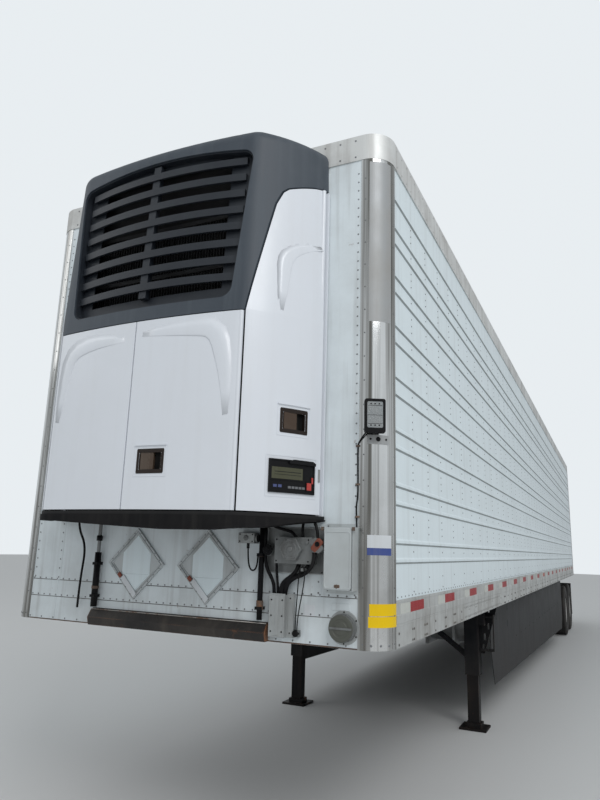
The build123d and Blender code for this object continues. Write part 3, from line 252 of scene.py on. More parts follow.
def finish(name, colour, roughness, metallic=0.0, dirt=(0.3, 0.27, 0.23), patches=0.2,
           streaks=0.2, low_band=0.3, band_top=1.6, rusty=None, worn=None,
           worn_at=(0.004, 0.5, 14.0), wave=0.3, wave_scale=1.4, grain=0.1, grain_scale=180.0,
           depth=0.002, rough_dirt=0.85, **sockets):
    """A material: its coat, worn edges, rust and road film, and the surface's fine relief.

    The colour is a plain one, or a function that draws it in the material's tree.
    """
    material = bpy.data.materials.new(name)
    material.use_nodes = True
    tree = material.node_tree
    shader = tree.nodes["Principled BSDF"]
    shader.inputs["Metallic"].default_value = metallic
    for key, value in sockets.items():
        shader.inputs[key.replace("_", " ")].default_value = value
    coat = colour(tree) if callable(colour) else (*colour, 1)
    if worn:
        rubbed = group(tree, edge, dict(zip(("Radius", "Break up", "Scale"), worn_at)))
        coat = mix(tree, rubbed["Mask"], coat, (*worn, 1))
    if rusty:
        spots = group(tree, rust, dict(zip(("Amount", "Scale"), rusty)))
        coat = mix(tree, spots["Mask"], coat, spots["Color"])
    dusty = group(tree, film, {"Clean": coat, "Dirt": (*dirt, 1), "Patches": patches,
                               "Streaks": streaks, "Low band": low_band, "Band top": band_top})
    tree.links.new(dusty["Color"], shader.inputs["Base Color"])
    rough = node(tree, "ShaderNodeMapRange", {"Value": dusty["Mask"], "To Min": roughness,
                                              "To Max": rough_dirt})
    tree.links.new(rough.outputs[0], shader.inputs["Roughness"])
    relief = group(tree, skin, {"Wave": wave, "Wave scale": wave_scale, "Grain": grain,
                                "Grain scale": grain_scale})
    bump = node(tree, "ShaderNodeBump", {"Height": relief["Height"], "Strength": 1.0,
                                         "Distance": depth})
    tree.links.new(bump.outputs[0], shader.inputs["Normal"])
    return material


def dress(material, *nodes):
    """Gives a material to CAD nodes whose shape is right."""
    for name in nodes:
        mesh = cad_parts[name].data
        mesh.materials.clear()
        mesh.materials.append(material)


def dress_faces(name, materials, choose):
    """Adds materials to a dressed CAD node, for the faces that a rule picks.

    The rule gets a face's middle and the way it faces. It gives 0 to keep the first material.
    """
    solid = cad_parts[name]
    for material in materials:
        solid.data.materials.append(material)
    for face in solid.data.polygons:
        face.material_index = choose(solid.matrix_world @ face.center, face.normal)


deck_aluminium = finish("deck_aluminium", (0.56, 0.57, 0.58), 0.42, 1.0, dirt=(0.24, 0.22, 0.19),
                        patches=0.35, low_band=0.5, wave=0.1, grain=0.4, grain_scale=90.0)
beam_black = finish("beam_black", (0.014, 0.014, 0.015), 0.5, dirt=(0.10, 0.09, 0.08),
                    patches=0.35, low_band=0.5, rusty=(0.18, 5.0), worn=(0.12, 0.10, 0.09),
                    grain=0.6, grain_scale=120.0, Specular_IOR_Level=0.25)
dress(deck_aluminium, "floor")
dress(beam_black, "crossmembers", "coupler_plate", "body_rails")

# Side walls, front wall and roof: white painted aluminium sheet with pressed ribs, held by
# columns of small rivets. The paint has dulled, and rain has drawn faint streaks down it.
panel_white = finish("panel_white", (0.75, 0.845, 0.885), 0.34, dirt=(0.36, 0.35, 0.33),
                     patches=0.10, streaks=0.22, low_band=0.35, band_top=1.7, wave=0.9,
                     wave_scale=2.2, grain=0.02, depth=0.003, Coat_Weight=0.12,
                     Coat_Roughness=0.25)
roof_sheet = finish("roof_sheet", (0.68, 0.70, 0.72), 0.45, 0.9, dirt=(0.3, 0.29, 0.27),
                    patches=0.5, streaks=0.0, low_band=0.0, wave=0.9, wave_scale=1.2, grain=0.05,
                    depth=0.004)
nose_white = finish("nose_white", (0.735, 0.80, 0.83), 0.36, dirt=(0.22, 0.205, 0.19),
                    patches=0.22, streaks=0.36, low_band=0.80, band_top=1.9, rusty=(0.085, 13.0),
                    wave=0.9, wave_scale=2.8, grain=0.03, depth=0.0035, Coat_Weight=0.10,
                    Coat_Roughness=0.25)
dress(nose_white, "front_wall")
box_aluminium = finish("box_aluminium", (0.58, 0.62, 0.63), 0.42, 0.3, dirt=(0.25, 0.24, 0.22),
                       patches=0.35, streaks=0.3, low_band=0.2, rusty=(0.07, 26.0), wave=0.6,
                       wave_scale=5.0, grain=0.08)
dress(box_aluminium, "document_box", "document_box_lid")
dress(panel_white, "wall_road_side", "wall_kerb_side", "door_road_side", "door_kerb_side")
dress(roof_sheet, "roof")
# Painted shade with some dust: wall faces that look down, under the ribs, get a darker grey coat.
# It stands in for the shade beneath each rib as well as the road dust caught there
rib_underside_shade_and_dust = finish("rib_underside_shade_and_dust", (0.34, 0.38, 0.39), 0.5, dirt=(0.16, 0.155, 0.14), patches=0.4,
                    streaks=0.2, wave=0.3, grain=0.05)
for hand, body_side in both_sides:
    dress_faces(f"wall_{body_side}_side", [rib_underside_shade_and_dust],
                lambda spot, facing: int(facing.z < -0.25 and abs(spot.x) > 1.25))


def piece(name, shape, material, body="trailer", smooth=False):
    """A piece that rides on a body, from points and faces, or from a list of such shapes."""
    points, faces = joined(*shape) if isinstance(shape, list) else shape
    mesh = bpy.data.meshes.new(name)
    mesh.from_pydata(points, [], faces)
    turned = bmesh.new()
    turned.from_mesh(mesh)
    bmesh.ops.recalc_face_normals(turned, faces=turned.faces)
    turned.to_mesh(mesh)
    turned.free()
    if smooth:
        mesh.polygons.foreach_set("use_smooth", [True] * len(mesh.polygons))
    mesh.materials.append(material)
    holder = bpy.data.objects.new(name, mesh)
    bpy.context.collection.objects.link(holder)
    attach(holder, body)
    return holder


def joined(*shapes):
    """Several point and face lists as one."""
    points, faces = [], []
    for some_points, some_faces in shapes:
        start = len(points)
        points.extend(some_points)
        faces.extend([tuple(start + i for i in face) for face in some_faces])
    return points, faces


def studs(spots, facing, radius, height, sides=8, crown=0.72):
    """Round heads on a surface that faces one way: rivets and bolts, each closed below."""
    out = Vector(facing).normalized()
    wide = out.orthogonal().normalized()
    tall = out.cross(wide)
    points, faces = [], []
    for spot in spots:
        start, centre = len(points), Vector(spot)
        for share, lift in ((1.0, -0.001), (1.0, 0.35 * height), (crown, height)):
            for n in range(sides):
                angle = math.tau * n / sides
                points.append(centre + out * lift + (wide * math.cos(angle)
                                                     + tall * math.sin(angle)) * radius * share)
        for ring in (0, 1):
            for n in range(sides):
                a, b = start + ring * sides + n, start + ring * sides + (n + 1) % sides
                faces.append((a, b, b + sides, a + sides))
        faces.append(tuple(start + 2 * sides + n for n in range(sides)))
        faces.append(tuple(start + n for n in reversed(range(sides))))
    return points, faces


def brick(x, y, z):
    """A closed block from its limits. Those across the trailer may come in either order."""
    x = sorted(x)
    points = [(i, j, k) for k in z for j in y for i in x]
    return points, [(0, 2, 3, 1), (4, 5, 7, 6), (0, 1, 5, 4), (2, 6, 7, 3), (0, 4, 6, 2),
                    (1, 3, 7, 5)]


def ring_of(radius, count, turn=0.0):
    """Points on a circle in a flat drawing, from an angle in degrees."""
    angles = [math.radians(turn) + math.tau * n / count for n in range(count)]
    return [(radius * math.cos(angle), radius * math.sin(angle)) for angle in angles]


def set_at(shape, origin, wide, out):
    """A shape drawn flat, set on a surface: X runs along wide and Z faces out."""
    out, wide = Vector(out).normalized(), Vector(wide).normalized()
    rise = out.cross(wide)
    return [Vector(origin) + wide * x + rise * y + out * z for x, y, z in shape[0]], shape[1]


def rounded(width, height, radius, x=0.0, y=0.0, steps=4):
    """Outline of a rectangle with round corners, about a centre."""
    points = []
    for turn, (right_hand, top) in enumerate(((1, 1), (-1, 1), (-1, -1), (1, -1))):
        for n in range(steps + 1):
            angle = math.radians(90 * turn + 90 * n / steps)
            points.append((x + right_hand * (width / 2 - radius) + radius * math.cos(angle),
                           y + top * (height / 2 - radius) + radius * math.sin(angle)))
    return points


def drawn_in(outline, amount):
    """The outline moved towards its inside, or out when the amount is below zero."""
    count, moved = len(outline), []
    for n, (x, y) in enumerate(outline):
        before, after = outline[n - 1], outline[(n + 1) % count]
        along = Vector((after[0] - before[0], after[1] - before[1])).normalized()
        moved.append((x - along.y * amount, y + along.x * amount))
    return moved


def skin_over(loops, ring=False):
    """Closes a row of point loops into a solid: with end caps, or end to end as a ring."""
    size, count = len(loops[0]), len(loops)
    points = [tuple(point) for loop in loops for point in loop]
    faces = []
    for a in range(count if ring else count - 1):
        b = (a + 1) % count
        for n in range(size):
            m = (n + 1) % size
            faces.append((a * size + n, a * size + m, b * size + m, b * size + n))
    if not ring:
        faces.append(tuple(reversed(range(size))))
        faces.append(tuple((count - 1) * size + n for n in range(size)))
    return points, faces


def tile(outline, low, high, bevel=0.0012):
    """A plate with a bevelled upper edge."""
    bevel = min(bevel, (high - low) / 2)
    return skin_over([[(x, y, low) for x, y in outline],
                      [(x, y, high - bevel) for x, y in outline],
                      [(x, y, high) for x, y in drawn_in(outline, bevel)]])


def frame_round(outer, inner, low, high, bevel=0.0012):
    """A flat ring between two outlines with as many points each, its upper edges bevelled."""
    loops = ((outer, low), (outer, high - bevel), (drawn_in(outer, bevel), high),
             (drawn_in(inner, -bevel), high), (inner, high - bevel), (inner, low))
    return skin_over([[(x, y, z) for x, y in outline] for outline, z in loops], ring=True)


def drawn_along(section, start, end):
    """A strip of one section, as (X, Z) points, from one Y to another."""
    return skin_over([[(x, y, z) for x, z in section] for y in (start, end)])


rivet_grey = finish("rivet_grey", (0.24, 0.25, 0.26), 0.4, 0.6, dirt=(0.12, 0.11, 0.10),
                    patches=0.6, low_band=0.5, grain=0.0)
rivet_dark = finish("rivet_dark", (0.060, 0.058, 0.056), 0.5, 0.3, patches=0.5, grain=0.0)
wall_skin = side - 0.008
rib_pitch, foot_pitch, foot_count = 0.3048, 0.07, 226
rib_pairs = [1.68 + rib_pitch * n for n in range(7)]
rivet_rows = [1.46, 1.53] + [z + lift for z in rib_pairs for lift in (0.0, 0.108, 0.152, 0.197)
                             if z + lift < 3.93]
column_start, column_pitch = 0.515, 0.3525
column_count = math.ceil((rear - front - 0.2 - column_start) / column_pitch)
columns = [front + column_start + column_pitch * n for n in range(column_count)]
for hand, body_side in both_sides:
    spots = [(hand * wall_skin, y, z) for y in columns for z in rivet_rows]
    spots += [(hand * wall_skin, front + 0.2 + foot_pitch * n, 1.443)
              for n in range(foot_count)]
    piece(f"wall_rivets_{body_side}", studs(spots, (hand, 0, 0), 0.0050, 0.0024, 6), rivet_grey)

# Front wall: painted aluminium sheets, two lapped plates low down and an upright seam at each
# side, each held by its row of rivets. A thin dark line runs along the upper edge of each lap, and
# rust runs along the foot where water stands.
wall_face = front + 0.007
sheet, seam = 0.0016, 0.9155
seam_rust = finish("seam_rust", (0.085, 0.052, 0.036), 0.8, patches=0.4, rusty=(0.28, 14.0),
                   grain=1.0, grain_scale=90.0)
front_plates = []
for x_low, x_high, z_low, z_high, lift in (
        (-1.136, -seam, 1.197, 1.434, sheet), (0.001 - seam, 1.136, 1.197, 1.436, sheet),
        (-1.136, -seam, 1.197, 1.331, 2 * sheet), (0.001 - seam, 1.136, 1.197, 1.333, 2 * sheet),
        (-0.932, -0.899, 1.437, 3.93, 0.0012), (0.899, 0.932, 1.437, 3.93, 0.0012)):
    plate = tile(rounded(x_high - x_low, z_high - z_low, 0.004), -0.001, lift)
    front_plates.append(set_at(plate, ((x_low + x_high) / 2, wall_face, (z_low + z_high) / 2),
                               (1, 0, 0), forward_out))
piece("front_wall_plates", front_plates, nose_white)
wall_row = [-1.125 + 0.05 * n for n in range(46)]
upright_row = [1.455 + 0.056 * n for n in range(44)]
front_spots = [(x, wall_face, 1.446) for x in wall_row]
front_spots += [(x, wall_face - sheet, 1.345) for x in wall_row]
front_spots += [(x, wall_face - 2 * sheet, 1.207) for x in wall_row[::2]]
front_spots += [(x, wall_face, z) for x in (-1.119, 1.119) for z in upright_row]
front_spots += [(x, wall_face - 0.0012, z) for x in (-seam, seam) for z in upright_row]
piece("front_wall_rivets", studs(front_spots, forward_out, 0.0052, 0.0024, 6), rivet_grey)
piece("front_wall_foot", brick((-1.136, 1.136), (wall_face - 0.0036, wall_face), (1.191, 1.1966)),
      seam_rust)
laps = [brick((-1.134, 1.134), (wall_face - lift, wall_face), (z, z + 0.0035))
        for z, lift in ((1.4362, 0.0009), (1.3332, 0.0026))]
piece("front_wall_laps", laps, rivet_dark)
small_plate = tile(rounded(0.10, 0.036, 0.003), 0, 0.003)
piece("nose_small_plate", set_at(small_plate, (1.045, wall_face - sheet, 1.392), (1, 0, 0),
                                 forward_out), nose_white)

# Rails: weathered mill aluminium extrusions riveted along the foot and the head of the walls,
# with a small bead at each step, a bolted splice plate behind the nose, and red and white
# reflective tape stuck on the lower one
rail_aluminium = finish("rail_aluminium", (0.60, 0.61, 0.60), 0.46, 0.70, dirt=(0.22, 0.20, 0.18),
                        patches=0.6, streaks=0.45, low_band=0.3, wave=0.3, grain=0.1,
                        grain_scale=60.0)
head_aluminium = finish("head_aluminium", (0.70, 0.71, 0.70), 0.5, 0.4, dirt=(0.31, 0.29, 0.27),
                        patches=0.6, streaks=0.5, low_band=0.0, wave=0.3, grain=0.1,
                        grain_scale=60.0)
dress(rail_aluminium, "bottom_rail_road_side", "bottom_rail_kerb_side")
dress(head_aluminium, "top_rail")

tape_white = finish("tape_white", (0.56, 0.575, 0.53), 0.35, dirt=(0.26, 0.25, 0.22), patches=0.5,
                    streaks=0.3, grain=0.5, grain_scale=260.0, Coat_Weight=0.3)
tape_red = finish("tape_red", (0.33, 0.004, 0.008), 0.33, dirt=(0.16, 0.03, 0.03), patches=0.2,
                  streaks=0.15, grain=0.5, grain_scale=260.0, Specular_IOR_Level=0.15)
tape_x = side - 0.003
tape_low, tape_high = 1.3555, 1.4095
tape_pitch = 0.83
tape_count = 19
head_heights = (3.975, 4.085)
for hand, body_side in both_sides:
    outward = (hand, 0, 0)
    for material, tone, start, length in ((tape_white, "white", 0.231, 0.19),
                                          (tape_red, "red", 0.423, 0.285)):
        starts = [front + start + tape_pitch * n for n in range(tape_count)]
        strips = [brick((hand * (tape_x - 0.001), hand * (tape_x + 0.0008)), (y, y + length),
                        (tape_low, tape_high)) for y in starts]
        piece(f"tape_{tone}_{body_side}", strips, material)
    low_rows = [(hand * tape_x, front + 0.205 + 0.26 * n + step, z) for n in range(60)
                for z in (1.206, 1.262) for step in (0.0, 0.03, 0.06)[:1 + n % 3]]
    piece(f"rail_rivets_{body_side}", studs(low_rows, outward, 0.0075, 0.003, 6), rivet_dark)
    splice = brick((hand * (side - 0.004), hand * (side - 0.0002)), (front + 1.84, front + 3.6),
                   (1.192, 1.304))
    piece(f"rail_splice_{body_side}", splice, rail_aluminium)
    splice_rows = [(hand * (side - 0.0003), front + 1.88 + 0.05 * n, z) for n in range(34)
                   for z in (1.215, 1.283)]
    piece(f"splice_bolts_{body_side}", studs(splice_rows, outward, 0.009, 0.0003, 6), rivet_dark)
    beads = []
    for low, high in ((1.296, 1.302), (1.414, 1.420), (1.192, 1.197)):
        middle, root, crest = (low + high) / 2, hand * (tape_x - 0.002), hand * (side - 0.0006)
        section = [(root, low), (crest, middle - 0.001), (crest, middle + 0.001), (root, high)]
        beads.append(drawn_along(section, front + 0.157, rear - 0.10))
    piece(f"rail_beads_{body_side}", beads, rail_aluminium)
    head_row = [(hand * (side - 0.0022), front + 0.2 + 0.1 * n, z) for n in range(158)
                for z in head_heights]
    piece(f"head_rivets_{body_side}", studs(head_row, outward, 0.007, 0.0022, 6), rivet_grey)
nose_heads = [(-1.10 + 0.1 * n, front, z) for n in range(23) for z in head_heights]
piece("head_rivets_nose", studs(nose_heads, forward_out, 0.0065, 0.0024, 6), rivet_grey)

# Corner posts: bright stainless sheet rolled round the two front corners. It has gone dull and
# streaked low down. Its colour carries a painted reflection of the yard: upright bands of dark and
# bright grey, with fine streaks through them.
# Painted reflection: where each band lies across the post, from its front edge at 0 to its side
# edge at 1, and how bright it is
painted_reflection_bands = ((0.0, 0.50), (0.14, 0.46), (0.20, 0.10), (0.36, 0.16), (0.42, 0.95), (0.56, 1.0),
                (0.62, 0.70), (0.70, 1.0), (0.82, 0.92), (0.90, 0.24), (1.0, 0.38))


def painted_post_reflection(tree):
    """Painted reflection: dark and bright bands across a post, from its front edge to its side
    edge, and fine streaks.
    """
    streak = node(tree, "ShaderNodeTexNoise", {"Vector": stretched(tree, (24.0, 24.0, 0.35)),
                                               "Scale": 1.0, "Detail": 3.0, "Roughness": 0.55})
    sharp = node(tree, "ShaderNodeMapRange", {"Value": streak.outputs["Fac"], "From Min": 0.42,
                                              "From Max": 0.54})
    across = node(tree, "ShaderNodeSeparateXYZ", {0: where(tree)}).outputs["X"]
    away = maths(tree, "ABSOLUTE", across, 0.0)
    share = node(tree, "ShaderNodeMapRange", {"Value": away, "From Min": 1.145,
                                              "From Max": 1.293})
    tones = node(tree, "ShaderNodeValToRGB", {"Fac": share.outputs[0]})
    for place_on, tone in painted_reflection_bands[2:]:
        tones.color_ramp.elements.new(place_on)
    for stop, (place_on, tone) in zip(tones.color_ramp.elements, painted_reflection_bands):
        stop.position = place_on
        stop.color = (tone, tone, tone, 1)
    wander = maths(tree, "MULTIPLY", maths(tree, "SUBTRACT", sharp.outputs[0], 0.5), 0.55)
    painted_reflection_tone = maths(tree, "ADD", tones.outputs["Color"], wander, clamp=True)
    return mix(tree, painted_reflection_tone, (0.20, 0.195, 0.18, 1), (0.92, 0.93, 0.93, 1))


# The posts' colour is the painted reflection, with road film over it
post_steel = finish("post_steel", painted_post_reflection, 0.10, 1.0, dirt=(0.17, 0.160, 0.143), patches=0.18,
                    streaks=0.20, low_band=1.6, band_top=2.1, wave=1.0, wave_scale=3.0,
                    grain=0.0, rough_dirt=0.6)
dress(post_steel, "corner_posts")
post_arc = 0.147
post_centre = (1.1455, front + 0.150)


def wrapped(hand, start, end, low, high, lift):
    """A thin plate round a corner post between two angles from the front, in degrees."""
    count = max(2, int((end - start) / 4) + 1)
    turns = [math.radians(start + (end - start) * n / count) for n in range(count + 1)]
    loops = []
    for angle in turns if hand > 0 else turns[::-1]:
        for_both = (math.sin(angle) * hand, -math.cos(angle))
        inner, outer = post_arc - 0.001, post_arc + lift
        loops.append([(hand * post_centre[0] + for_both[0] * reach,
                       post_centre[1] + for_both[1] * reach, z)
                      for reach, z in ((inner, low), (outer, low), (outer, high),
                                       (inner, high))])
    return skin_over(loops)


def on_post(hand, angle, height, lift=0.0):
    """A point on a corner post, and the way its surface faces there."""
    turn = math.radians(angle)
    facing = Vector((hand * math.sin(turn), -math.cos(turn), 0))
    centre = Vector((hand * post_centre[0], post_centre[1], height))
    return centre + facing * (post_arc + lift), facing


fold_low, fold_high, fold_lift = 1.197, 3.94, 0.0011
for hand, post_name in both_sides:
    folds = [wrapped(hand, start, end, fold_low, fold_high, fold_lift)
             for start, end in ((0.5, 13), (74, 91))]
    piece(f"post_folds_{post_name}", folds, post_steel)
    heads = [studs([on_post(hand, angle, 1.22 + 0.137 * n, fold_lift)[0]],
                   on_post(hand, angle, 0)[1], 0.0048, 0.0018, 6)
             for angle in (7, 82) for n in range(20)]
    heads += [studs([on_post(hand, angle, 1.215)[0]], on_post(hand, angle, 0)[1], 0.007, 0.0024, 6)
              for angle in (24, 44, 64)]
    piece(f"post_rivets_{post_name}", heads, rivet_grey)

# Signs on the road side post, all blank: foil stuck round the bright sheet. A grey strip above,
# a white and blue plate, and two yellow plates near the foot.
sign_grey = finish("sign_grey", (0.36, 0.375, 0.385), 0.4, 0.2, patches=0.35, streaks=0.3,
                   wave=0.3, grain=0.1)
sign_white = finish("sign_white", (0.66, 0.69, 0.72), 0.3, patches=0.15, grain=0.0)
sign_blue = finish("sign_blue", (0.03, 0.065, 0.27), 0.3, patches=0.15, grain=0.0,
                   Specular_IOR_Level=0.3)
sign_yellow = finish("sign_yellow", (0.88, 0.58, 0.008), 0.34, dirt=(0.34, 0.23, 0.03),
                     patches=0.2, streaks=0.15, grain=0.0, Specular_IOR_Level=0.15)
piece("post_strip", wrapped(1, 16, 71, 2.93, 3.93, 0.0007), sign_grey)
piece("post_plate_white", wrapped(1, 15, 70, 1.694, 1.759, 0.0008), sign_white)
piece("post_plate_blue", wrapped(1, 15, 70, 1.657, 1.6935, 0.0008), sign_blue)
piece("post_plate_yellow", [wrapped(1, 20, 92, 1.357, 1.416, 0.0014),
                            wrapped(1, 18, 92, 1.301, 1.354, 0.0014)], sign_yellow)

# Work lamp on the post: black moulded housing with a grey ribbed glass, a bracket with two
# screws below it, and its black cable clipped along the wall's edge
lamp_black = finish("lamp_black", (0.006, 0.006, 0.007), 0.36, dirt=(0.03, 0.03, 0.03),
                    patches=0.2, grain=0.3, grain_scale=300.0, Specular_IOR_Level=0.12)
lamp_grey = finish("lamp_grey", (0.24, 0.26, 0.27), 0.16, patches=0.3, wave=0.0, grain=1.0,
                   grain_scale=150.0, Specular_IOR_Level=0.6)


def on_lamp(shape):
    """Sets a flat shape on the lamp, which faces out across the corner."""
    return set_at(shape, (1.232, front - 0.022, 2.377), (0.893, 0.45, 0), (0.45, -0.893, 0))


rim = frame_round(rounded(0.112, 0.184, 0.012), rounded(0.084, 0.142, 0.008, y=0.006),
                  0.020, 0.0275)
piece("work_lamp_rim", on_lamp(rim), lamp_black)
glass = tile(rounded(0.086, 0.144, 0.008, y=0.006), 0.022, 0.0252)
piece("work_lamp_glass", on_lamp(glass), lamp_grey)
bars = [tile(rounded(0.078, 0.0022, 0.001, y=y), 0.025, 0.0259, 0.0004)
        for y in (0.003, 0.055, -0.043)]
bars += [tile(rounded(0.008, 0.008, 0.0035, x=x, y=y), 0.025, 0.0262, 0.0008)
         for x in (-0.022, 0.0, 0.022) for y in (-0.052, 0.064)]
piece("work_lamp_bars", on_lamp(joined(*bars)), lamp_black)
piece("work_lamp_bracket", wrapped(1, 14, 62, 2.236, 2.286, 0.003), sign_grey)
screws = [studs([on_post(1, angle, 2.263, 0.003)[0]], on_post(1, angle, 0)[1], radius, lift, 12)
          for angle, radius, lift in ((21, 0.006, 0.003), (37, 0.013, 0.002), (55, 0.006, 0.003))]
piece("work_lamp_screws", screws, lamp_black)


def rod(route, radius, sides=10):
    """A bar or a clipped pipe through its points, with rings that don't twist."""
    path = [Vector(point) for point in route]
    along = [(path[min(n + 1, len(path) - 1)] - path[max(n - 1, 0)]).normalized()
             for n in range(len(path))]
    wide = along[0].orthogonal().normalized()
    loops = []
    for point, way in zip(path, along):
        wide = (wide - way * wide.dot(way)).normalized()
        tall = way.cross(wide)
        loops.append([point + (wide * math.cos(math.tau * n / sides)
                               + tall * math.sin(math.tau * n / sides)) * radius
                      for n in range(sides)])
    return skin_over(loops)


def eased(corners, share=0.3):
    """A route with each corner cut by a small bend."""
    path = [Vector(corner) for corner in corners]
    route = [path[0]]
    for before, here, after in zip(path, path[1:], path[2:]):
        first, last = here.lerp(before, share), here.lerp(after, share)
        for n in range(5):
            t = n / 4
            route.append(first.lerp(here, t).lerp(here.lerp(last, t), t))
    route.append(path[-1])
    return route


wire = [(x, front + y, z) for x, y, z in (
    (1.188, -0.020, 2.300), (1.150, -0.004, 2.262), (1.132, 0.002, 2.236), (1.130, 0.003, 2.18),
    (1.133, 0.003, 1.97), (1.124, 0.003, 1.90), (1.128, 0.003, 1.797))]
piece("work_lamp_wire", rod(eased(wire), 0.0042, 8), lamp_black, smooth=True)
clips = [brick((1.120, 1.142), (front - 0.003, wall_face), (z - 0.005, z + 0.005))
         for z in (2.226, 2.02, 1.85)]
piece("work_lamp_clips", clips, seam_rust)

# Rear frame with its hinges, in stainless steel, welded. Lock rods, kingpin and underride guard
# are galvanised or bare steel, bolted on and dull with road salt.
door_steel = finish("door_steel", (0.56, 0.57, 0.58), 0.36, 0.95, dirt=(0.27, 0.25, 0.22),
                    patches=0.45, streaks=0.4, wave=0.2, grain=0.3, grain_scale=70.0)
zinc = finish("zinc", (0.46, 0.48, 0.49), 0.45, 0.85, dirt=(0.23, 0.21, 0.19), patches=0.6,
              streaks=0.25, low_band=0.7, rusty=(0.12, 7.0), grain=0.5, grain_scale=40.0)
dress(door_steel, "rear_frame")
dress(zinc, "lock_rods_road_side", "lock_rods_kerb_side", "kingpin", "underride_guard")

# Running gear and landing gear: welded and bolted steel in black paint, dusty, with rust at the
# feet. Air springs, flaps and bumpers are moulded rubber, the side skirts dark sheet hung from
# two rows of bolts, and the unit's tank is plain aluminium in straps.
leg_black = finish("leg_black", (0.007, 0.008, 0.010), 0.42, dirt=(0.07, 0.062, 0.055),
                   patches=0.25, streaks=0.2, low_band=0.5, band_top=0.8, rusty=(0.10, 6.0),
                   worn=(0.10, 0.07, 0.055), grain=0.5, grain_scale=110.0, Specular_IOR_Level=0.1)
dress(leg_black, "leg_tubes", "leg_braces", "leg_crank")
dress(beam_black, "slider_frame", "trailing_arms", "axles")
foot_rust = finish("foot_rust", (0.009, 0.009, 0.010), 0.5, dirt=(0.10, 0.070, 0.050),
                   patches=0.15, streaks=0.15, low_band=1.1, band_top=0.30, rusty=(0.14, 8.0),
                   worn=(0.10, 0.055, 0.035), grain=0.7, grain_scale=60.0, Specular_IOR_Level=0.12)
dress(foot_rust, "leg_rams")
spring_rubber = finish("spring_rubber", (0.008, 0.008, 0.009), 0.6, dirt=(0.07, 0.065, 0.06),
                       patches=0.2, low_band=0.5, grain=0.3, grain_scale=200.0,
                       Specular_IOR_Level=0.08)
dress(spring_rubber, "air_springs", "mud_flaps", "dock_bumpers", "unit_bumper")
skirt_grey = finish("skirt_grey", (0.020, 0.021, 0.023), 0.5, dirt=(0.075, 0.07, 0.066),
                    patches=0.3, streaks=0.3, low_band=0.5, band_top=0.9, wave=0.8, wave_scale=1.6,
                    grain=0.08, depth=0.004, Specular_IOR_Level=0.12)
dress(skirt_grey, "skirts")
skirt_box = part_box("skirts")
skirt_face, skirt_top = skirt_box[1][0], skirt_box[1][2]
skirt_length = skirt_box[1][1] - skirt_box[0][1]
for hand, body_side in both_sides:
    bolts = [(hand * (skirt_face - 0.0003), skirt_box[0][1] + 0.9 + 0.42 * n, skirt_top - drop)
             for n in range(int((skirt_length - 1.2) / 0.42)) for drop in (0.035, 0.40)]
    piece(f"skirt_bolts_{body_side}", studs(bolts, (hand, 0, 0), 0.008, 0.003, 6), leg_black)
tank_aluminium = finish("tank_aluminium", (0.58, 0.60, 0.62), 0.38, 0.9, dirt=(0.2, 0.19, 0.17),
                        patches=0.5, low_band=0.8, wave=0.4, grain=0.3, grain_scale=50.0)
dress(tank_aluminium, "fuel_tank")

# Apron under the nose: bent steel plate that slides onto a coupler. Its paint is scraped to
# bare metal along the bend and to rust at the two cut ends.
apron_steel = finish("apron_steel", (0.020, 0.019, 0.019), 0.5, 0.1, dirt=(0.10, 0.085, 0.072),
                     patches=0.5, streaks=0.5, low_band=0.2, rusty=(0.17, 3.2),
                     worn=(0.17, 0.075, 0.04), worn_at=(0.010, 0.54, 5.0), wave=0.8,
                     wave_scale=5.0, grain=0.5, grain_scale=70.0, depth=0.004,
                     Specular_IOR_Level=0.3)
dress(apron_steel, "nose_apron")
scraped_steel = finish("scraped_steel", (0.46, 0.44, 0.42), 0.5, 0.6, patches=0.6,
                       rusty=(0.3, 11.0), grain=0.6)
edge_line = [(-0.597, front - 0.0125, 1.2815), (0.622, front - 0.0125, 1.2815)]
piece("apron_edge", rod(edge_line, 0.0028, 8), scraped_steel, smooth=True)
end_rust = finish("end_rust", (0.20, 0.085, 0.035), 0.75, patches=0.3, rusty=(0.5, 20.0),
                  grain=1.0, grain_scale=70.0)
end_section = [(wall_face, 1.1935), (wall_face, 1.287), (front - 0.013, 1.2785),
               (front - 0.0405, 1.2355), (front - 0.029, 1.1935)]
end_plates = [skin_over([[(x, y, z) for y, z in end_section] for x in (start, start + 0.004)])
              for start in (-0.6035, 0.6245)]
piece("apron_ends", end_plates, end_rust)

# Twin wheels: moulded black tyres with four worn grooves, and white powder coated disc wheels
# with ten round hand holes. Ten nuts hold each wheel on the hub's studs, round a steel cap.
tyre_rubber = finish("tyre_rubber", (0.014, 0.014, 0.015), 0.68, dirt=(0.10, 0.09, 0.08),
                     patches=0.35, low_band=0.5, grain=0.5, grain_scale=160.0,
                     Specular_IOR_Level=0.25)
wheel_white = finish("wheel_white", (0.72, 0.73, 0.73), 0.38, dirt=(0.2, 0.17, 0.14), patches=0.6,
                     low_band=0.5, rusty=(0.12, 9.0), grain=0.1)


def spun(profile, sides=24, ring=False):
    """A solid of rotation about Z, from (radius, height) points, closed or ended flat."""
    return skin_over([[(x, y, height) for x, y in ring_of(radius, sides)]
                      for radius, height in profile], ring)


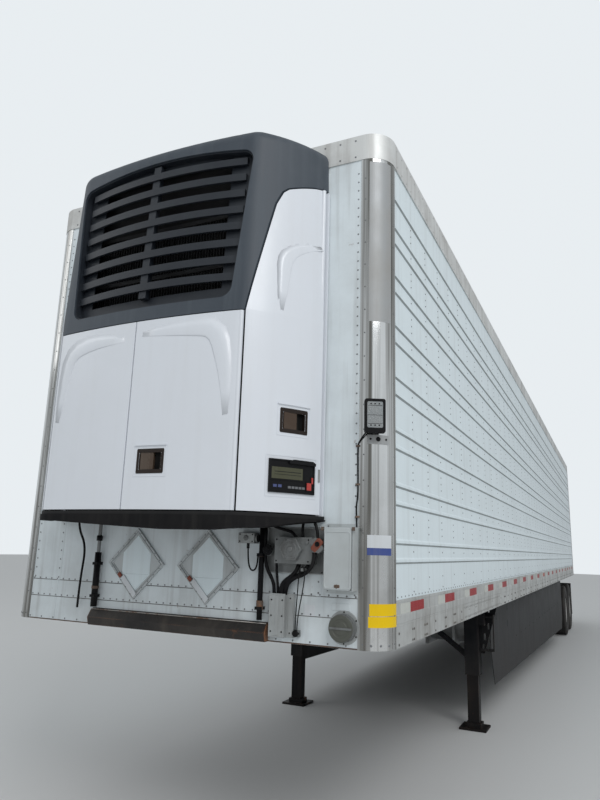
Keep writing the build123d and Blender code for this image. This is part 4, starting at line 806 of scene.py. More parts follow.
tyre_side = [(0.2865, 0.0985), (0.297, 0.107), (0.303, 0.106), (0.312, 0.118), (0.318, 0.1175),
             (0.345, 0.129), (0.385, 0.1365), (0.410, 0.1372), (0.440, 0.134), (0.446, 0.1352),
             (0.450, 0.1335), (0.476, 0.1275), (0.482, 0.1265), (0.494, 0.1215), (0.504, 0.114),
             (0.511, 0.108), (0.5135, 0.098)]
tread = []
for groove in (0.075, 0.027, -0.027, -0.075):
    tread += [(0.5146, groove + 0.0065), (0.5010, groove + 0.0035), (0.5010, groove - 0.0035),
              (0.5146, groove - 0.0065)]
tyre_profile = [(radius, -height) for radius, height in tyre_side] + tread[::-1] + tyre_side[::-1]
# Flat black: the real colour of screw heads, the belt and the latch cups, and painted shade in the
# wheels' hand holes
black_and_painted_hole_shade = finish("black_and_painted_hole_shade", (0.006, 0.006, 0.006), 0.8, patches=0.1, grain=0.2,
                    Specular_IOR_Level=0.1)
nut_steel = finish("nut_steel", (0.38, 0.37, 0.36), 0.42, 0.85, dirt=(0.16, 0.13, 0.11),
                   patches=0.5, low_band=0.4, rusty=(0.2, 12.0), grain=0.3)
disc_middle, twin_offset, nut_circle, hole_circle = 0.984, 0.1715, 0.1429, 0.215
nut_count, hole_turn = 10, 0.314
for corner in ("road_front", "road_rear", "kerb_front", "kerb_rear"):
    dress(wheel_white, f"wheel_{corner}")
    ride_on = f"wheels_{corner}"
    hand = 1 if corner.startswith("road") else -1
    outward = Vector((hand, 0, 0))
    low, high = (Vector(limit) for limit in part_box(f"wheel_{corner}"))
    hub = Vector((hand * disc_middle, (low.y + high.y) / 2, (low.z + high.z) / 2))
    pair = [set_at(spun(tyre_profile, 72, ring=True), hub + outward * twin, (0, 1, 0), outward)
            for twin in (-twin_offset, twin_offset)]
    tyres = piece(f"tyre_pair_{corner}", pair, tyre_rubber, ride_on)
    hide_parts(f"tyres_{corner}")
    nuts, bolts, holes, edges = [], [], [], []
    for n in range(nut_count):
        turn = math.tau * n / nut_count
        way = Vector((0, math.cos(turn), math.sin(turn)))
        foot = hub + outward * 0.012 + way * nut_circle
        nuts.append(studs([foot], outward, 0.0165, 0.019, 6, 0.9))
        bolts.append(studs([foot + outward * 0.018], outward, 0.010, 0.012, 8, 0.85))
        way = Vector((0, math.cos(turn + hole_turn), math.sin(turn + hole_turn)))
        slope = (outward * 0.837 - way * 0.548).normalized()
        spot = hub + outward * 0.0427 + way * hole_circle
        around = slope.cross(way).normalized()
        # The hand holes are not cut through: each is a black tile inside a white rim, painted
        # shade for the dark space seen through the hole
        hole = rounded(0.052, 0.052, 0.0255)
        holes.append(set_at(tile(hole, -0.004, 0.0006, 0.0003), spot, around, slope))
        edges.append(set_at(frame_round(rounded(0.062, 0.062, 0.0305), hole, -0.004, 0.0025), spot,
                            around, slope))
    piece(f"wheel_nuts_{corner}", nuts + bolts, nut_steel, ride_on)
    piece(f"wheel_holes_{corner}", holes, black_and_painted_hole_shade, ride_on)
    piece(f"wheel_hole_edges_{corner}", edges, wheel_white, ride_on)
    cap = spun([(0.066, -0.001), (0.066, 0.003), (0.060, 0.006), (0.034, 0.007), (0.030, 0.0095)],
               32)
    piece(f"hub_cap_{corner}", set_at(cap, hub + outward * 0.156, (0, 1, 0), outward), nut_steel,
          ride_on)

# Refrigeration unit, bolted to the nose: white moulded doors and side panels on hinge pins, a
# dark slate moulded fascia with a louvred grille, and a black painted steel frame and machinery
# behind them
unit_white = finish("unit_white", (0.74, 0.77, 0.82), 0.30, dirt=(0.50, 0.48, 0.46), patches=0.07,
                    streaks=0.08, low_band=0.0, wave=0.9, wave_scale=2.6, grain=0.015, depth=0.002,
                    Coat_Weight=0.35, Coat_Roughness=0.2)
fascia_slate = finish("fascia_slate", (0.040, 0.052, 0.068), 0.50, dirt=(0.125, 0.145, 0.165),
                      patches=0.22, streaks=0.28, low_band=0.0, wave=0.3, grain=0.4,
                      grain_scale=420.0, depth=0.0008)
grille_slate = finish("grille_slate", (0.011, 0.015, 0.022), 0.48, dirt=(0.07, 0.08, 0.09),
                      patches=0.2, streaks=0.1, low_band=0.0, wave=0.2, grain=0.4,
                      grain_scale=420.0, depth=0.0008)
machine_black = finish("machine_black", (0.009, 0.009, 0.010), 0.6, dirt=(0.04, 0.038, 0.036),
                       patches=0.4, grain=0.4, Specular_IOR_Level=0.25)
dress(unit_white, "unit_door_road_side", "unit_door_kerb_side", "unit_side_road_side",
      "unit_side_kerb_side")
dress(fascia_slate, "unit_fascia")
dress(grille_slate, "unit_grille")
dress(machine_black, "unit_frame", "unit_core")
dress_faces("unit_frame", [unit_white],
            lambda spot, facing: int(abs(spot.x) > 0.895 and spot.z > 1.86))
panel_black = finish("panel_black", (0.007, 0.007, 0.008), 0.32, dirt=(0.03, 0.03, 0.03),
                     patches=0.2, grain=0.3, grain_scale=300.0, Specular_IOR_Level=0.15)
dress(panel_black, "control_panel")

# Paddle latches, one on the road side front door and one on the side panel beside it: a dark
# moulded ring let into the skin, with a brown paddle that slants over a deep dark cup
latch_ring = finish("latch_ring", (0.022, 0.015, 0.012), 0.35, dirt=(0.05, 0.04, 0.035),
                    patches=0.2, grain=0.1, Specular_IOR_Level=0.25)
latch_brown = finish("latch_brown", (0.070, 0.044, 0.029), 0.22, 0.25, patches=0.2, wave=0.4,
                     grain=0.0)
door_bend, panel_bend = 0.1076, 0.506


def arched(x, y, low, high, bend, steps=8):
    """A plate between limits in X and Y that follows a skin curved along X."""
    loops = []
    for n in range(steps + 1):
        across = x[0] + (x[1] - x[0]) * n / steps
        drop = bend * across * across
        loops.append([(across, y[0], low - drop), (across, y[1], low - drop),
                      (across, y[1], high - drop), (across, y[0], high - drop)])
    return skin_over(loops)


def arched_frame(outer, inner, low, high, bend, x=0.0, y=0.0):
    """Four arched plates round an opening. Sizes are half widths and half heights."""
    return joined(
        arched((x - outer[0], x + outer[0]), (y + inner[1], y + outer[1]), low, high, bend),
        arched((x - outer[0], x + outer[0]), (y - outer[1], y - inner[1]), low, high, bend),
        arched((x - outer[0], x - inner[0]), (y - inner[1], y + inner[1]), low, high, bend, 2),
        arched((x + inner[0], x + outer[0]), (y - inner[1], y + inner[1]), low, high, bend, 2))


unit_face = front - 0.495
panel_face = Vector((0.832, front - 0.1995, 0))
panel_out = Vector((0.8375, -0.5465, 0))
panel_wide = Vector((0.5465, 0.8375, 0))
panel_turn = -0.0342
side_wide = (panel_wide + panel_out * panel_turn).normalized()
side_out = (panel_out - panel_wide * panel_turn).normalized()
side_origin = panel_face + panel_out * 0.0207 + Vector((0, 0, 2.336))
for name, origin, wide, out, bend, body in (
        ("door", (0.141, unit_face + 0.0021, 2.110), (1, 0.0304, 0), (0.0304, -1, 0), door_bend,
         "unit_door_road_side"),
        ("side", side_origin, side_wide, side_out, panel_bend, "unit_side_road_side")):
    ring = joined(arched_frame((0.084, 0.066), (0.071, 0.052), -0.006, 0.0022, bend),
                  arched_frame((0.087, 0.061), (0.083, 0.045), -0.006, 0.0016, bend),
                  arched_frame((0.0715, 0.0525), (0.067, 0.047), -0.0205, 0.0008, bend))
    cup = arched((-0.070, 0.070), (-0.051, 0.051), -0.0205, -0.0188, bend)
    leaf = rounded(0.082, 0.0985, 0.008, x=-0.0225)
    paddle = skin_over([[(x, y, depth - 0.03 * (x + 0.06)) for x, y in outline]
                        for outline, depth in ((leaf, -0.0190), (leaf, -0.0020),
                                               (drawn_in(leaf, 0.0018), -0.0006))])
    surround = joined(arched_frame((0.103, 0.083), (0.098, 0.078), -0.002, 0.0016, bend),
                      arched((-0.103, 0.103), (0.083, 0.091), -0.002, 0.0075, bend))
    for label, shape, material, slot in (
            ("ring", ring, latch_ring, "black_plastic"), ("cup", cup, black_and_painted_hole_shade, "black_plastic"),
            ("paddle", paddle, latch_brown, "black_plastic"),
            ("surround", surround, unit_white, "unit_panel")):
        piece(f"latch_{label}_{name}", set_at(shape, origin, wide, out), material, body)

# Control display on the side panel: a black bezel under a small hood, an olive screen, a row of
# grey keys and a red rocker. The keys bear no marks.
screen_olive = finish("screen_olive", (0.050, 0.052, 0.022), 0.12, patches=0.1, grain=0.0,
                      Coat_Weight=0.15)
key_grey = finish("key_grey", (0.13, 0.14, 0.155), 0.4, patches=0.2, grain=0.1)
key_blue = finish("key_blue", (0.035, 0.06, 0.20), 0.4, patches=0.2, grain=0.1)
rocker_red = finish("rocker_red", (0.48, 0.022, 0.018), 0.35, patches=0.2, grain=0.1)
display_origin = panel_face + panel_out * 0.0267 + Vector((0, 0, 2.042))


def bowed(x, y, low, high, steps=8):
    """A plate on the side panel, which follows its bow."""
    return arched(x, y, low, high, panel_bend, steps)


def bowed_frame(outer, inner, low, high, x=0.0, y=0.0):
    """A frame on the side panel, which follows its bow."""
    return arched_frame(outer, inner, low, high, panel_bend, x, y)


keys = [bowed((x, x + 0.017), (-0.062, -0.050), -0.001, 0.0024, 1)
        for x in (-0.030, -0.008, 0.014, 0.036, 0.058)]
blue_keys = [bowed((x, x + 0.020), (-0.059, -0.045), -0.001, 0.0024, 1) for x in (-0.116, -0.088)]
for name, shapes, material, slot in (
        ("bezel", [bowed_frame((0.142, 0.086), (0.134, 0.078), -0.004, 0.0034),
                   bowed_frame((0.100, 0.037), (0.094, 0.031), -0.001, 0.0024, -0.033, 0.015),
                   bowed_frame((0.020, 0.026), (0.0155, 0.020), -0.001, 0.0034, 0.101, -0.045)],
         panel_black, "black_plastic"),
        ("hood", [bowed((-0.030, 0.142), (0.066, 0.080), -0.006, 0.013),
                  bowed((0.000, 0.130), (0.080, 0.089), -0.010, 0.008)], panel_black,
         "black_plastic"),
        ("screen", [bowed((-0.127, 0.061), (-0.015, 0.045), -0.001, 0.0012)], screen_olive,
         "lens"),
        ("screen_lines", [bowed((-0.110, 0.050), (0.020, 0.023), 0, 0.0016),
                          bowed((-0.110, 0.050), (0.006, 0.008), 0, 0.0016)], panel_black, "lens"),
        ("keys", keys, key_grey, "black_plastic"),
        ("blue_keys", blue_keys, key_blue, "black_plastic"),
        ("rocker", [bowed((0.087, 0.116), (-0.064, -0.026), -0.001, 0.0065, 3),
                    bowed((0.118, 0.128), (-0.028, 0.004), -0.001, 0.0065, 1)], rocker_red,
         "black_plastic"),
        ("surround", [bowed_frame((0.158, 0.108), (0.153, 0.103), -0.010, -0.0042)], unit_white,
         "unit_panel")):
    piece(f"display_{name}", set_at(joined(*shapes), display_origin, side_wide, side_out),
          material, "unit_side_road_side")

# Behind the louvres and the doors: the grille's mullion up to the opening's top, a black fan
# shroud, and the machinery on the front of the core: finned coil, engine cover, three belt
# wheels with their belt, battery and copper pipes
engine_green = finish("engine_green", (0.050, 0.060, 0.062), 0.5, 0.1, dirt=(0.05, 0.045, 0.04),
                      patches=0.5, grain=0.5, grain_scale=90.0, Specular_IOR_Level=0.3)
coil_grey = finish("coil_grey", (0.055, 0.056, 0.058), 0.5, 0.6, dirt=(0.03, 0.028, 0.026),
                   patches=0.5, grain=0.2, Specular_IOR_Level=0.3)
pipe_copper = finish("pipe_copper", (0.30, 0.135, 0.075), 0.4, 0.9, dirt=(0.06, 0.05, 0.04),
                     patches=0.5, grain=0.2)
core_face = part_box("unit_core")[0][1]
shell_lean, lean_from = 0.062 / 1.150, 2.915
mullion = [(x, unit_face + inset + shell_lean * (z - lean_from), z)
           for z in (3.062, 3.935) for inset in (0.0152, 0.0510) for x in (-0.0555, -0.0045)]
piece("grille_mullion", (mullion, brick((0, 1), (0, 1), (0, 1))[1]), grille_slate)
shroud = brick((-0.60, 0.60), (core_face + 0.004, core_face + 0.010), (3.50, 3.955))
piece("machine_shroud", shroud, machine_black)


def on_core(shape, x, z):
    """Sets a flat shape on the core's front face."""
    return set_at(shape, (x, core_face, z), (1, 0, 0), forward_out)


fins = [brick((x - 0.0015, x + 0.0015), (core_face - 0.012, core_face + 0.001), (2.96, 3.56))
        for x in [-0.52 + 0.02 * n for n in range(53)]]
fins += [brick((-0.54, 0.54), (core_face - 0.016, core_face + 0.001), (z - 0.012, z + 0.012))
         for z in (2.95, 3.26, 3.57)]
piece("machine_coil", fins, coil_grey)
engine = [on_core(tile(rounded(0.46, 0.42, 0.03), -0.001, 0.050, 0.012), -0.26, 2.24),
          on_core(tile(rounded(0.36, 0.10, 0.02), -0.001, 0.062, 0.010), -0.26, 2.50),
          on_core(tile(rounded(0.30, 0.24, 0.04), -0.001, 0.055, 0.015), 0.18, 2.34),
          on_core(studs([(a * 0.205, b * 0.185, 0.050) for a, b in
                         ((-1, -1), (-1, 1), (1, -1), (1, 1), (0, -1), (0, 1))], (0, 0, 1), 0.010,
                        0.008, 6), -0.26, 2.24),
          on_core(spun([(0.058, -0.001), (0.058, 0.070), (0.050, 0.076), (0.020, 0.078)], 28),
                  0.43, 2.56)]
piece("machine_engine", engine, engine_green)
belt_rounds = ((-0.20, 2.20, 0.085), (0.18, 2.40, 0.062), (-0.02, 2.62, 0.045))
belt_wheels = [on_core(spun([(0.020, 0.0), (r, 0.050), (r, 0.058), (r - 0.008, 0.063),
                             (r, 0.068), (r, 0.074), (r - 0.02, 0.074), (0.022, 0.064),
                             (0.018, 0.078)], 32), x, z) for x, z, r in belt_rounds]
piece("machine_wheels", belt_wheels, coil_grey)
belt = []
for (x, z, r), (next_x, next_z, next_r) in zip(belt_rounds, belt_rounds[1:] + belt_rounds[:1]):
    way = Vector((next_x - x, 0, next_z - z)).normalized()
    outer_way = Vector((way.z, 0, -way.x))
    belt.append([Vector((x, core_face - 0.063, z)) + outer_way * r,
                 Vector((next_x, core_face - 0.063, next_z)) + outer_way * next_r])
piece("machine_belt", [rod(run, 0.006, 6) for run in belt], black_and_painted_hole_shade)
battery = [on_core(tile(rounded(0.24, 0.17, 0.010), -0.001, 0.080, 0.006), 0.42, 2.02),
           on_core(tile(rounded(0.25, 0.02, 0.004), -0.001, 0.084, 0.003), 0.42, 2.09)]
piece("machine_battery", battery, machine_black)
pipe_routes = (((0.02, -0.020, 1.90), (0.02, -0.030, 2.10), (0.30, -0.040, 2.16),
                (0.30, -0.030, 2.85)),
               ((-0.52, -0.015, 1.92), (-0.52, -0.030, 2.74), (-0.10, -0.030, 2.80),
                (-0.10, -0.010, 2.93)),
               ((0.52, -0.020, 2.20), (0.52, -0.035, 2.70), (0.38, -0.030, 2.86)))
pipes = [rod(eased([(x, core_face + y, z) for x, y, z in route], 0.2), 0.009, 10)
         for route in pipe_routes]
piece("machine_pipes", pipes, pipe_copper, smooth=True)

slot_plate = joined(bowed_frame((0.006, 0.034), (0.003, 0.030), -0.012, 0.0030, 0.178),
                    bowed((0.175, 0.181), (-0.028, 0.028), -0.012, 0.0012, 1))
slot_origin = display_origin - panel_out * 0.0045 + Vector((0, 0, 0.02))
piece("panel_slot", set_at(slot_plate, slot_origin, side_wide, side_out), sign_grey,
      "unit_side_road_side")

# Moulded steps in the two front doors and in both side panels: the skin rises towards a crease
# that bends down at the outer corner, and falls off sharply inside it


def crease(panel, line, profile, swells, least, outer, skin_at):
    """A moulded step on a panel, along a line of (X, Z) points, that swells in its middle.

    The outer side is 1 where it lies to the left of the line, and -1 to the right.
    """
    loops, last = [], len(line) - 1
    for n, (x, z) in enumerate(line):
        before, after = line[max(n - 1, 0)], line[min(n + 1, last)]
        along = Vector((after[0] - before[0], after[1] - before[1])).normalized() * outer
        lead, tail, power = swells
        swell = math.sin(math.pi * min(1.0, (n + lead) / (last + tail))) ** power
        loop = []
        for reach, lift in profile:
            reach *= least + (1 - least) * swell
            x_here, z_here = x - along.y * reach, z + along.x * reach
            spot = skin_at(x_here, z_here)
            loop.append((spot[0], spot[1] - (lift * swell if lift > 0 else lift), z_here))
        loops.append(loop)
    made = piece(f"{panel}_crease", skin_over(loops), unit_white, panel)
    for face in made.data.polygons:
        face.use_smooth = len(face.vertices) == 4


door_profile = ((0.110, 0.0002), (0.055, 0.0031), (0.0, 0.0050), (-0.004, 0.0040),
                (-0.010, 0.0002), (-0.010, -0.001), (0.110, -0.001))
for panel, line in (
        ("unit_door_kerb_side", ((-0.583, 2.36), (-0.560, 2.48), (-0.535, 2.61), (-0.512, 2.70),
                                 (-0.490, 2.735), (-0.455, 2.757), (-0.39, 2.775), (-0.30, 2.789),
                                 (-0.20, 2.796), (-0.11, 2.800))),
        ("unit_door_road_side", ((0.02, 2.816), (0.12, 2.812), (0.22, 2.805), (0.32, 2.797),
                                 (0.40, 2.789), (0.435, 2.781), (0.462, 2.758), (0.480, 2.72),
                                 (0.502, 2.65), (0.524, 2.57), (0.545, 2.46), (0.560, 2.34)))):
    crease(panel, line, door_profile, (0.05, 0.0, 0.9), 0.25, 1,
           lambda x, z: (x, unit_face + door_bend * x * x))
side_profile = ((0.055, 0.0002), (0.028, 0.0030), (0.0, 0.0048), (-0.003, 0.0040),
                (-0.007, 0.0002), (-0.007, -0.001), (0.055, -0.001))
side_line = ((0.925, 3.378), (0.895, 3.358), (0.868, 3.332), (0.845, 3.303), (0.828, 3.275),
             (0.819, 3.245), (0.814, 3.205), (0.811, 3.15), (0.806, 3.05), (0.797, 2.94))
for hand, body_side in both_sides:
    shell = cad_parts[f"unit_side_{body_side}_side"].data
    shell_tree = BVHTree.FromPolygons([vertex.co for vertex in shell.vertices],
                                      [face.vertices for face in shell.polygons])

    def on_shell(x, z):
        """The panel's outer face, seen from the front."""
        return shell_tree.ray_cast(Vector((hand * x, front - 1.0, z)), Vector((0, 1, 0)))[0]

    crease(f"unit_side_{body_side}_side", side_line, side_profile, (0.4, 0.4, 0.7), 0.3, -1,
           on_shell)

# Nose fittings: cast and pressed aluminium boxes, frames and pipes screwed or riveted to the
# front wall, dull and dusty, with black rubber on the pipes
fitting_grey = finish("fitting_grey", (0.22, 0.23, 0.23), 0.5, 0.45, dirt=(0.10, 0.092, 0.085),
                      patches=0.6, streaks=0.5, grain=0.6, grain_scale=80.0)
frame_white = finish("frame_white", (0.50, 0.53, 0.54), 0.42, 0.15, dirt=(0.20, 0.185, 0.17),
                     patches=0.5, streaks=0.4, rusty=(0.10, 22.0), wave=0.6, grain=0.1)
dress(fitting_grey, "connection_box", "front_fittings")
dress(frame_white, "placard_frames")
fitting_pale = finish("fitting_pale", (0.42, 0.44, 0.44), 0.45, 0.35, dirt=(0.16, 0.15, 0.14),
                      patches=0.5, streaks=0.4, grain=0.4, grain_scale=90.0)
hose_black = finish("hose_black", (0.006, 0.006, 0.007), 0.45, dirt=(0.045, 0.042, 0.04),
                    patches=0.25, grain=0.5, grain_scale=200.0, Specular_IOR_Level=0.12)
coupling_orange = finish("coupling_orange", (0.22, 0.050, 0.024), 0.5, dirt=(0.06, 0.05, 0.045),
                         patches=0.5, rusty=(0.2, 20.0), grain=0.5)


def fitting_part(spot, facing):
    """0 for cast fittings, 1 for the rubber of the pipes and clips, 2 for the pale channel."""
    on_clip = abs(spot.z - 1.360) < 0.012 or abs(spot.z - 1.552) < 0.009
    if 0.555 < spot.x < 0.611 or (spot.x < 0 and on_clip):
        return 1
    return 2 if 0.640 < spot.x < 0.786 else 0


dress_faces("front_fittings", [hose_black, fitting_pale], fitting_part)


def on_wall(shape, x, z, proud):
    """Sets a flat shape on the nose, facing forward, at a distance before the wall's front."""
    return set_at(shape, (x, front - proud, z), (1, 0, 0), forward_out)


# Placard holders: rolled double rims with rivets, hinged flaps in three fields, a pale strip
# and a red-brown spring clip along the lower left side
square = rounded(0.297, 0.297, 0.004)
for name, x in (("kerb", -0.294), ("road", 0.220)):
    def on_placard(shape):
        """Sets a flat shape on its holder, which stands on a corner."""
        return set_at(shape, (x, wall_face, 1.562), (1, 0, 1), forward_out)

    rims = joined(frame_round(square, rounded(0.285, 0.285, 0.004), 0.011, 0.0135),
                  frame_round(rounded(0.262, 0.262, 0.004), rounded(0.252, 0.252, 0.004), 0.003,
                              0.0085))
    piece(f"placard_rims_{name}", on_placard(rims), frame_white)
    flap = [(-0.118, -0.118), (0.030, -0.118), (0.118, -0.030), (0.118, 0.118), (-0.030, 0.118),
            (-0.118, 0.030)]
    half = [(-0.112, 0.024), (-0.112, -0.112), (0.024, -0.112)]
    flaps = joined(tile(flap, 0.003, 0.0056), tile(half, 0.005, 0.0072))
    piece(f"placard_flaps_{name}", on_placard(flaps), panel_white)
    strip = tile(rounded(0.034, 0.150, 0.002, x=-0.124, y=-0.064), 0.008, 0.0134)
    piece(f"placard_strip_{name}", on_placard(strip), sign_white)
    edge_spots = [(a, b) for t in (-0.110, -0.055, 0.0, 0.055, 0.110)
                  for a, b in ((t, 0.1425), (0.1425, t), (t, -0.1425), (-0.1425, t))]
    heads = studs([(a, b, 0.0125) for a, b in edge_spots], (0, 0, 1), 0.0042, 0.0032, 6)
    piece(f"placard_rivets_{name}", on_placard(heads), rivet_grey)
    clip = tile(rounded(0.024, 0.030, 0.004, x=-0.130, y=0.030), 0.012, 0.018, 0.003)
    piece(f"placard_clip_{name}", on_placard(clip), coupling_orange)

# Pipes at both sides of the placards: thick black rubber sleeves slid over them and held by
# rusty steel clips


def upright(x, low, high, radius, sides=10):
    """A round bar along one of the two pipes, from one height to another."""
    return rod([(x, front - 0.022, low), (x, front - 0.022, high)], radius, sides)


kerb_pipe, road_pipe = -0.578, 0.583
piece("nose_sleeves", [upright(kerb_pipe, 1.296, 1.620, 0.0195),
                       upright(kerb_pipe, 1.690, 1.722, 0.0185),
                       upright(road_pipe, 1.299, 1.825, 0.0155)], hose_black,
      smooth=True)
piece("nose_clamps", [upright(kerb_pipe, 1.402, 1.419, 0.0225, 12),
                      upright(road_pipe, 1.352, 1.399, 0.0195, 12),
                      upright(road_pipe, 1.63, 1.642, 0.0185, 12)], seam_rust)

# Socket box with its screwed lid, back plate with a folded rim, junction box with its cast
# six-sided cover, and the orange air coupling with its rubber seal
corners = ((-1, -1), (-1, 1), (1, -1), (1, 1))
socket_x, socket_z, plate_x, plate_z, junction_x = 0.494, 1.7285, 0.776, 1.670, 0.788
box_lid = on_wall(tile(rounded(0.098, 0.053, 0.006), -0.001, 0.0025), socket_x, socket_z, 0.045)
piece("socket_lid", box_lid, fitting_pale)
knob = on_wall(spun([(0.015, -0.001), (0.015, 0.004), (0.012, 0.0065), (0.005, 0.0065),
                     (0.004, 0.009)], 20), socket_x, socket_z, 0.0475)
piece("socket_knob", knob, fitting_grey)
small_screws = [(x + a * wide, y, z + b * high) for x, y, z, wide, high in (
    (socket_x, front - 0.0475, socket_z, 0.040, 0.019),
    (plate_x, wall_face - 0.006, plate_z, 0.160, 0.112),
    (junction_x, front - 0.062, 1.669, 0.094, 0.056)) for a, b in corners]
piece("nose_screws", studs(small_screws, forward_out, 0.0046, 0.0028, 6), black_and_painted_hole_shade)
gland = rod([(0.500, front - 0.030, 1.705), (0.500, front - 0.030, 1.672)], 0.0085, 8)
piece("socket_gland", gland, hose_black)
plate_rim = on_wall(frame_round(rounded(0.344, 0.244, 0.004), rounded(0.332, 0.232, 0.004),
                                -0.001, 0.003), plate_x, plate_z, -0.001)
piece("plate_rim", plate_rim, fitting_pale)
hexagon = ring_of(0.064, 6)
cover = joined(frame_round(hexagon, drawn_in(hexagon, 0.007), -0.001, 0.0035),
               frame_round(rounded(0.076, 0.076, 0.0379), rounded(0.064, 0.064, 0.0319), -0.001,
                           0.0040),
               spun([(0.016, -0.001), (0.016, 0.005), (0.012, 0.008)], 16),
               studs([(x, y, 0) for x, y in ring_of(0.050, 6)], (0, 0, 1), 0.0042, 0.004, 6))
piece("junction_cover", on_wall(cover, junction_x, 1.675, 0.090), fitting_grey)
tilt = (math.cos(math.radians(38)), 0, -math.sin(math.radians(38)))
coupling = tile(rounded(0.040, 0.074, 0.012), -0.012, 0.003, 0.003)
piece("air_coupling", set_at(coupling, (0.940, front - 0.086, 1.698), tilt, forward_out),
      coupling_orange)
seal = spun([(0.013, -0.001), (0.013, 0.005), (0.009, 0.006), (0.006, 0.003)], 20)
piece("coupling_seal", set_at(seal, (0.945, front - 0.088, 1.704), tilt, forward_out), hose_black)
outlet = spun([(0.030, -0.001), (0.030, 0.004), (0.024, 0.009), (0.015, 0.010), (0.013, 0.014)],
              24)
piece("round_outlet", on_wall(outlet, 0.632, 1.668, 0.045), hose_black)

# Bound loom: short black rubber hoses and cables from the unit and the boxes, tied together and
# led down into the cable channel
loom_routes = (
    (((0.600, -0.018, 1.80), (0.606, -0.026, 1.70), (0.612, -0.024, 1.58), (0.664, -0.022, 1.50),
      (0.668, -0.020, 1.440)), 0.0100),
    (((0.676, -0.020, 1.640), (0.680, -0.024, 1.560), (0.688, -0.024, 1.500),
      (0.692, -0.020, 1.440)), 0.0075),
    (((0.880, -0.034, 1.604), (0.850, -0.042, 1.560), (0.750, -0.032, 1.500),
      (0.734, -0.022, 1.440)), 0.0115),
    (((0.820, -0.034, 1.604), (0.800, -0.040, 1.550), (0.722, -0.034, 1.500),
      (0.704, -0.022, 1.440)), 0.0115),
    (((0.841, -0.038, 1.826), (0.838, -0.046, 1.780), (0.842, -0.044, 1.732)), 0.0080),
    (((0.906, -0.046, 1.826), (0.930, -0.060, 1.780), (0.938, -0.066, 1.735),
      (0.932, -0.060, 1.690)), 0.0085),
    (((0.640, -0.020, 1.800), (0.700, -0.030, 1.782), (0.770, -0.034, 1.768),
      (0.800, -0.034, 1.735)), 0.0080))
looms = [rod(eased([(x, front + y, z) for x, y, z in route], 0.42), radius, 10)
         for route, radius in loom_routes]
piece("bound_loom", looms, hose_black, smooth=True)

# Cable channel with its cover strip and screws, the straps' knob, a blank label, and the capped
# round tube
channel_z, strip_x = 1.3325, 0.765
channel = [on_wall(frame_round(rounded(0.090, 0.219, 0.004), rounded(0.078, 0.207, 0.004), -0.001,
                               0.0025), 0.696, channel_z, 0.040),
           on_wall(tile(rounded(0.020, 0.200, 0.003), -0.001, 0.0022), 0.696, channel_z, 0.040),
           on_wall(tile(rounded(0.026, 0.200, 0.003), -0.001, 0.0018), strip_x, channel_z, 0.016)]
piece("channel_strips", channel, fitting_pale)
channel_spots = [(x, front - 0.040, z) for x in (0.664, 0.728) for z in (1.25, 1.33, 1.41)]
channel_spots += [(strip_x, front - 0.0175, z) for z in (1.245, 1.42)]
piece("channel_screws", studs(channel_spots, forward_out, 0.0046, 0.003, 6), black_and_painted_hole_shade)
piece("strap_knob", on_wall(spun([(0.017, -0.014), (0.017, 0.006), (0.013, 0.011),
                                  (0.006, 0.012)], 20), 0.804, 1.247, 0.026), hose_black)
piece("blank_label", on_wall(tile(rounded(0.062, 0.058, 0.002), -0.001, 0.0006), 0.868, 1.365,
                             -0.0052), sign_white)
cap_olive = finish("cap_olive", (0.105, 0.110, 0.092), 0.45, 0.3, dirt=(0.06, 0.055, 0.05),
                   patches=0.4, grain=0.4)
cap = spun([(0.0655, -0.001), (0.0655, 0.002), (0.062, 0.0032), (0.046, 0.0034), (0.044, 0.0018),
            (0.034, 0.0018), (0.032, 0.0034), (0.014, 0.0034)], 40)
tube_x, tube_z = 1.064, 1.292
piece("tube_cap", on_wall(cap, tube_x, tube_z, 0.045), cap_olive)
flange = frame_round(rounded(0.170, 0.170, 0.0849, steps=9),
                     rounded(0.138, 0.138, 0.0689, steps=9), -0.001, 0.003)
piece("tube_flange", on_wall(flange, tube_x, tube_z, -0.0038), fitting_pale)
flange_spots = [(tube_x + x, front + 0.0008, tube_z + z) for x, z in ring_of(0.077, 6, 30)]
piece("flange_screws", studs(flange_spots, forward_out, 0.0045, 0.003, 6), black_and_painted_hole_shade)

# Document box of pressed aluminium: a riveted flange round its foot, a rolled rim on the lid,
# which lifts on two rusty hinges, and a small turn latch
box_x, box_z = 1.056, 1.6355
foot = on_wall(frame_round(rounded(0.196, 0.357, 0.008), rounded(0.154, 0.315, 0.006), -0.001,
                           0.0022), box_x, box_z, -0.007)
piece("document_box_foot", foot, box_aluminium)
foot_spots = [(box_x + a * 0.088, front + 0.0048, box_z + b) for a in (-1, 1)
              for b in (-0.165, -0.083, 0.0, 0.083, 0.165)]
piece("document_box_rivets", studs(foot_spots, forward_out, 0.0042, 0.002, 6), rivet_grey)
lid_rim = on_wall(frame_round(rounded(0.146, 0.288, 0.016), rounded(0.132, 0.274, 0.012), -0.001,
                              0.0028), box_x, 1.6290, 0.085)
piece("document_lid_rim", lid_rim, box_aluminium, "document_box_lid")
latch = joined(on_wall(tile(rounded(0.030, 0.016, 0.003), -0.001, 0.003), box_x, 1.498, 0.085),
               on_wall(tile(rounded(0.006, 0.020, 0.002), 0.002, 0.008), box_x, 1.498, 0.085))
piece("document_lid_latch", latch, seam_rust, "document_box_lid")
hinge_rust = [brick((x, x + 0.013), (front - 0.0868, front - 0.0745), (1.776, 1.7945))
              for x in (0.9635, 1.1355)]
piece("document_hinge_rust", hinge_rust, seam_rust)

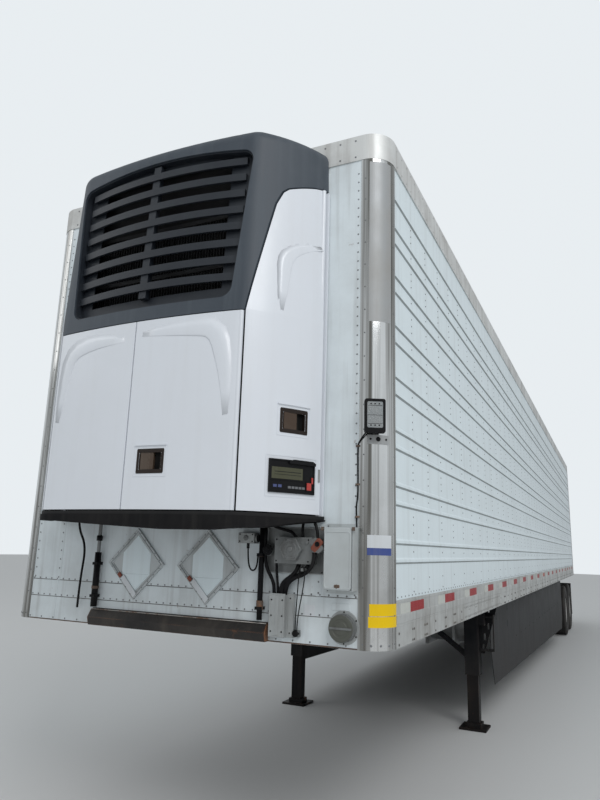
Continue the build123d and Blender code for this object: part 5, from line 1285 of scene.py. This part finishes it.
# Lamps: moulded amber markers along the rails, and round red lamps pushed into rubber grommets
# at the rear. The rear doors have rubber seals along both upright edges.
marker_amber = finish("marker_amber", (0.62, 0.20, 0.02), 0.2, patches=0.3, grain=0.3,
                      grain_scale=60.0, Coat_Weight=0.4)
tail_red = finish("tail_red", (0.42, 0.012, 0.012), 0.2, patches=0.3, grain=0.3, grain_scale=60.0,
                  Coat_Weight=0.4)
dress(lamp_black, "lamps")
nose_end, sides_end = front + 1.0, front + 9.0
dress_faces("lamps", [marker_amber, tail_red],
            lambda spot, facing: 0 if spot.y < nose_end else 1 if spot.y < sides_end else 2)


def on_tail(outer, inner, low, high, bevel):
    """Round frames about the six tail lamps, from their outer and inner width."""
    edge_line, hole_line = (rounded(width, width, width / 2 - 0.0001, steps=9)
                            for width in (outer, inner))
    return [set_at(frame_round(edge_line, hole_line, low, high, bevel), (x, rear, 1.285),
                   (-1, 0, 0), (0, 1, 0)) for x in (0.640, 0.770, 0.900, -0.640, -0.770, -0.900)]


piece("tail_lamp_grommets", on_tail(0.116, 0.100, -0.001, 0.016, 0.003), spring_rubber)
piece("tail_lamp_rings", on_tail(0.060, 0.052, 0.0135, 0.0155, 0.0008), tail_red)
for hand, body_side in both_sides:
    door_low, door_high = (Vector(corner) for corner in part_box(f"door_{body_side}_side"))
    seals = [brick((x, x + 0.014), (door_high.y - 0.001, door_high.y + 0.0012), (1.48, 3.91))
             for x in (door_low.x + 0.002, door_high.x - 0.016)]
    piece(f"door_seal_{body_side}", seals, spring_rubber,
          f"door_{body_side}_side")

# Free cords on the nose: a drain hose of the unit, the looped lead of the socket box, the loom
# that goes down into the channel, and a tie strap over its hook. All are black rubber.
cord_rubber = finish("cord_rubber", (0.007, 0.007, 0.008), 0.5, dirt=(0.05, 0.047, 0.045),
                     patches=0.25, grain=0.3, grain_scale=260.0, Specular_IOR_Level=0.12)


def free_cord(name, route, diameter):
    """A cord on a smooth spline through its route's control points, drawn in place of its CAD
    part.
    """
    curve = bpy.data.curves.new(name, "CURVE")
    curve.dimensions = "3D"
    curve.bevel_depth = diameter / 2
    curve.bevel_resolution = 3
    curve.use_fill_caps = True
    spline = curve.splines.new("NURBS")
    spline.points.add(len(route) - 1)
    for point, (x, y, z) in zip(spline.points, route):
        point.co = (x, front + y, z, 1)
    spline.order_u = 3
    spline.use_endpoint_u = True
    spline.resolution_u = 12
    curve.materials.append(cord_rubber)
    line = bpy.data.objects.new(f"{name}_line", curve)
    bpy.context.collection.objects.link(line)
    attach(line, "trailer")
    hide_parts(name)


free_cord("drain_hose", ((-0.740, -0.045, 1.832), (-0.740, -0.045, 1.765),
                         (-0.672, -0.034, 1.655), (-0.704, -0.024, 1.450),
                         (-0.708, -0.022, 1.283)), 0.014)
free_cord("socket_cable", ((0.500, -0.030, 1.700), (0.500, -0.030, 1.560),
                           (0.570, -0.041, 1.552), (0.570, -0.041, 1.632)),
          0.009)
free_cord("main_cable", ((0.925, -0.075, 1.662), (0.925, -0.075, 1.560), (0.716, -0.024, 1.510),
                         (0.716, -0.024, 1.443)), 0.020)
free_cord("tie_strap", ((0.799, -0.020, 1.262), (0.799, -0.020, 1.320), (0.838, -0.082, 1.500),
                        (0.848, -0.088, 1.586), (0.880, -0.088, 1.586), (0.872, -0.082, 1.500),
                        (0.809, -0.020, 1.320), (0.809, -0.020, 1.262)),
          0.006)
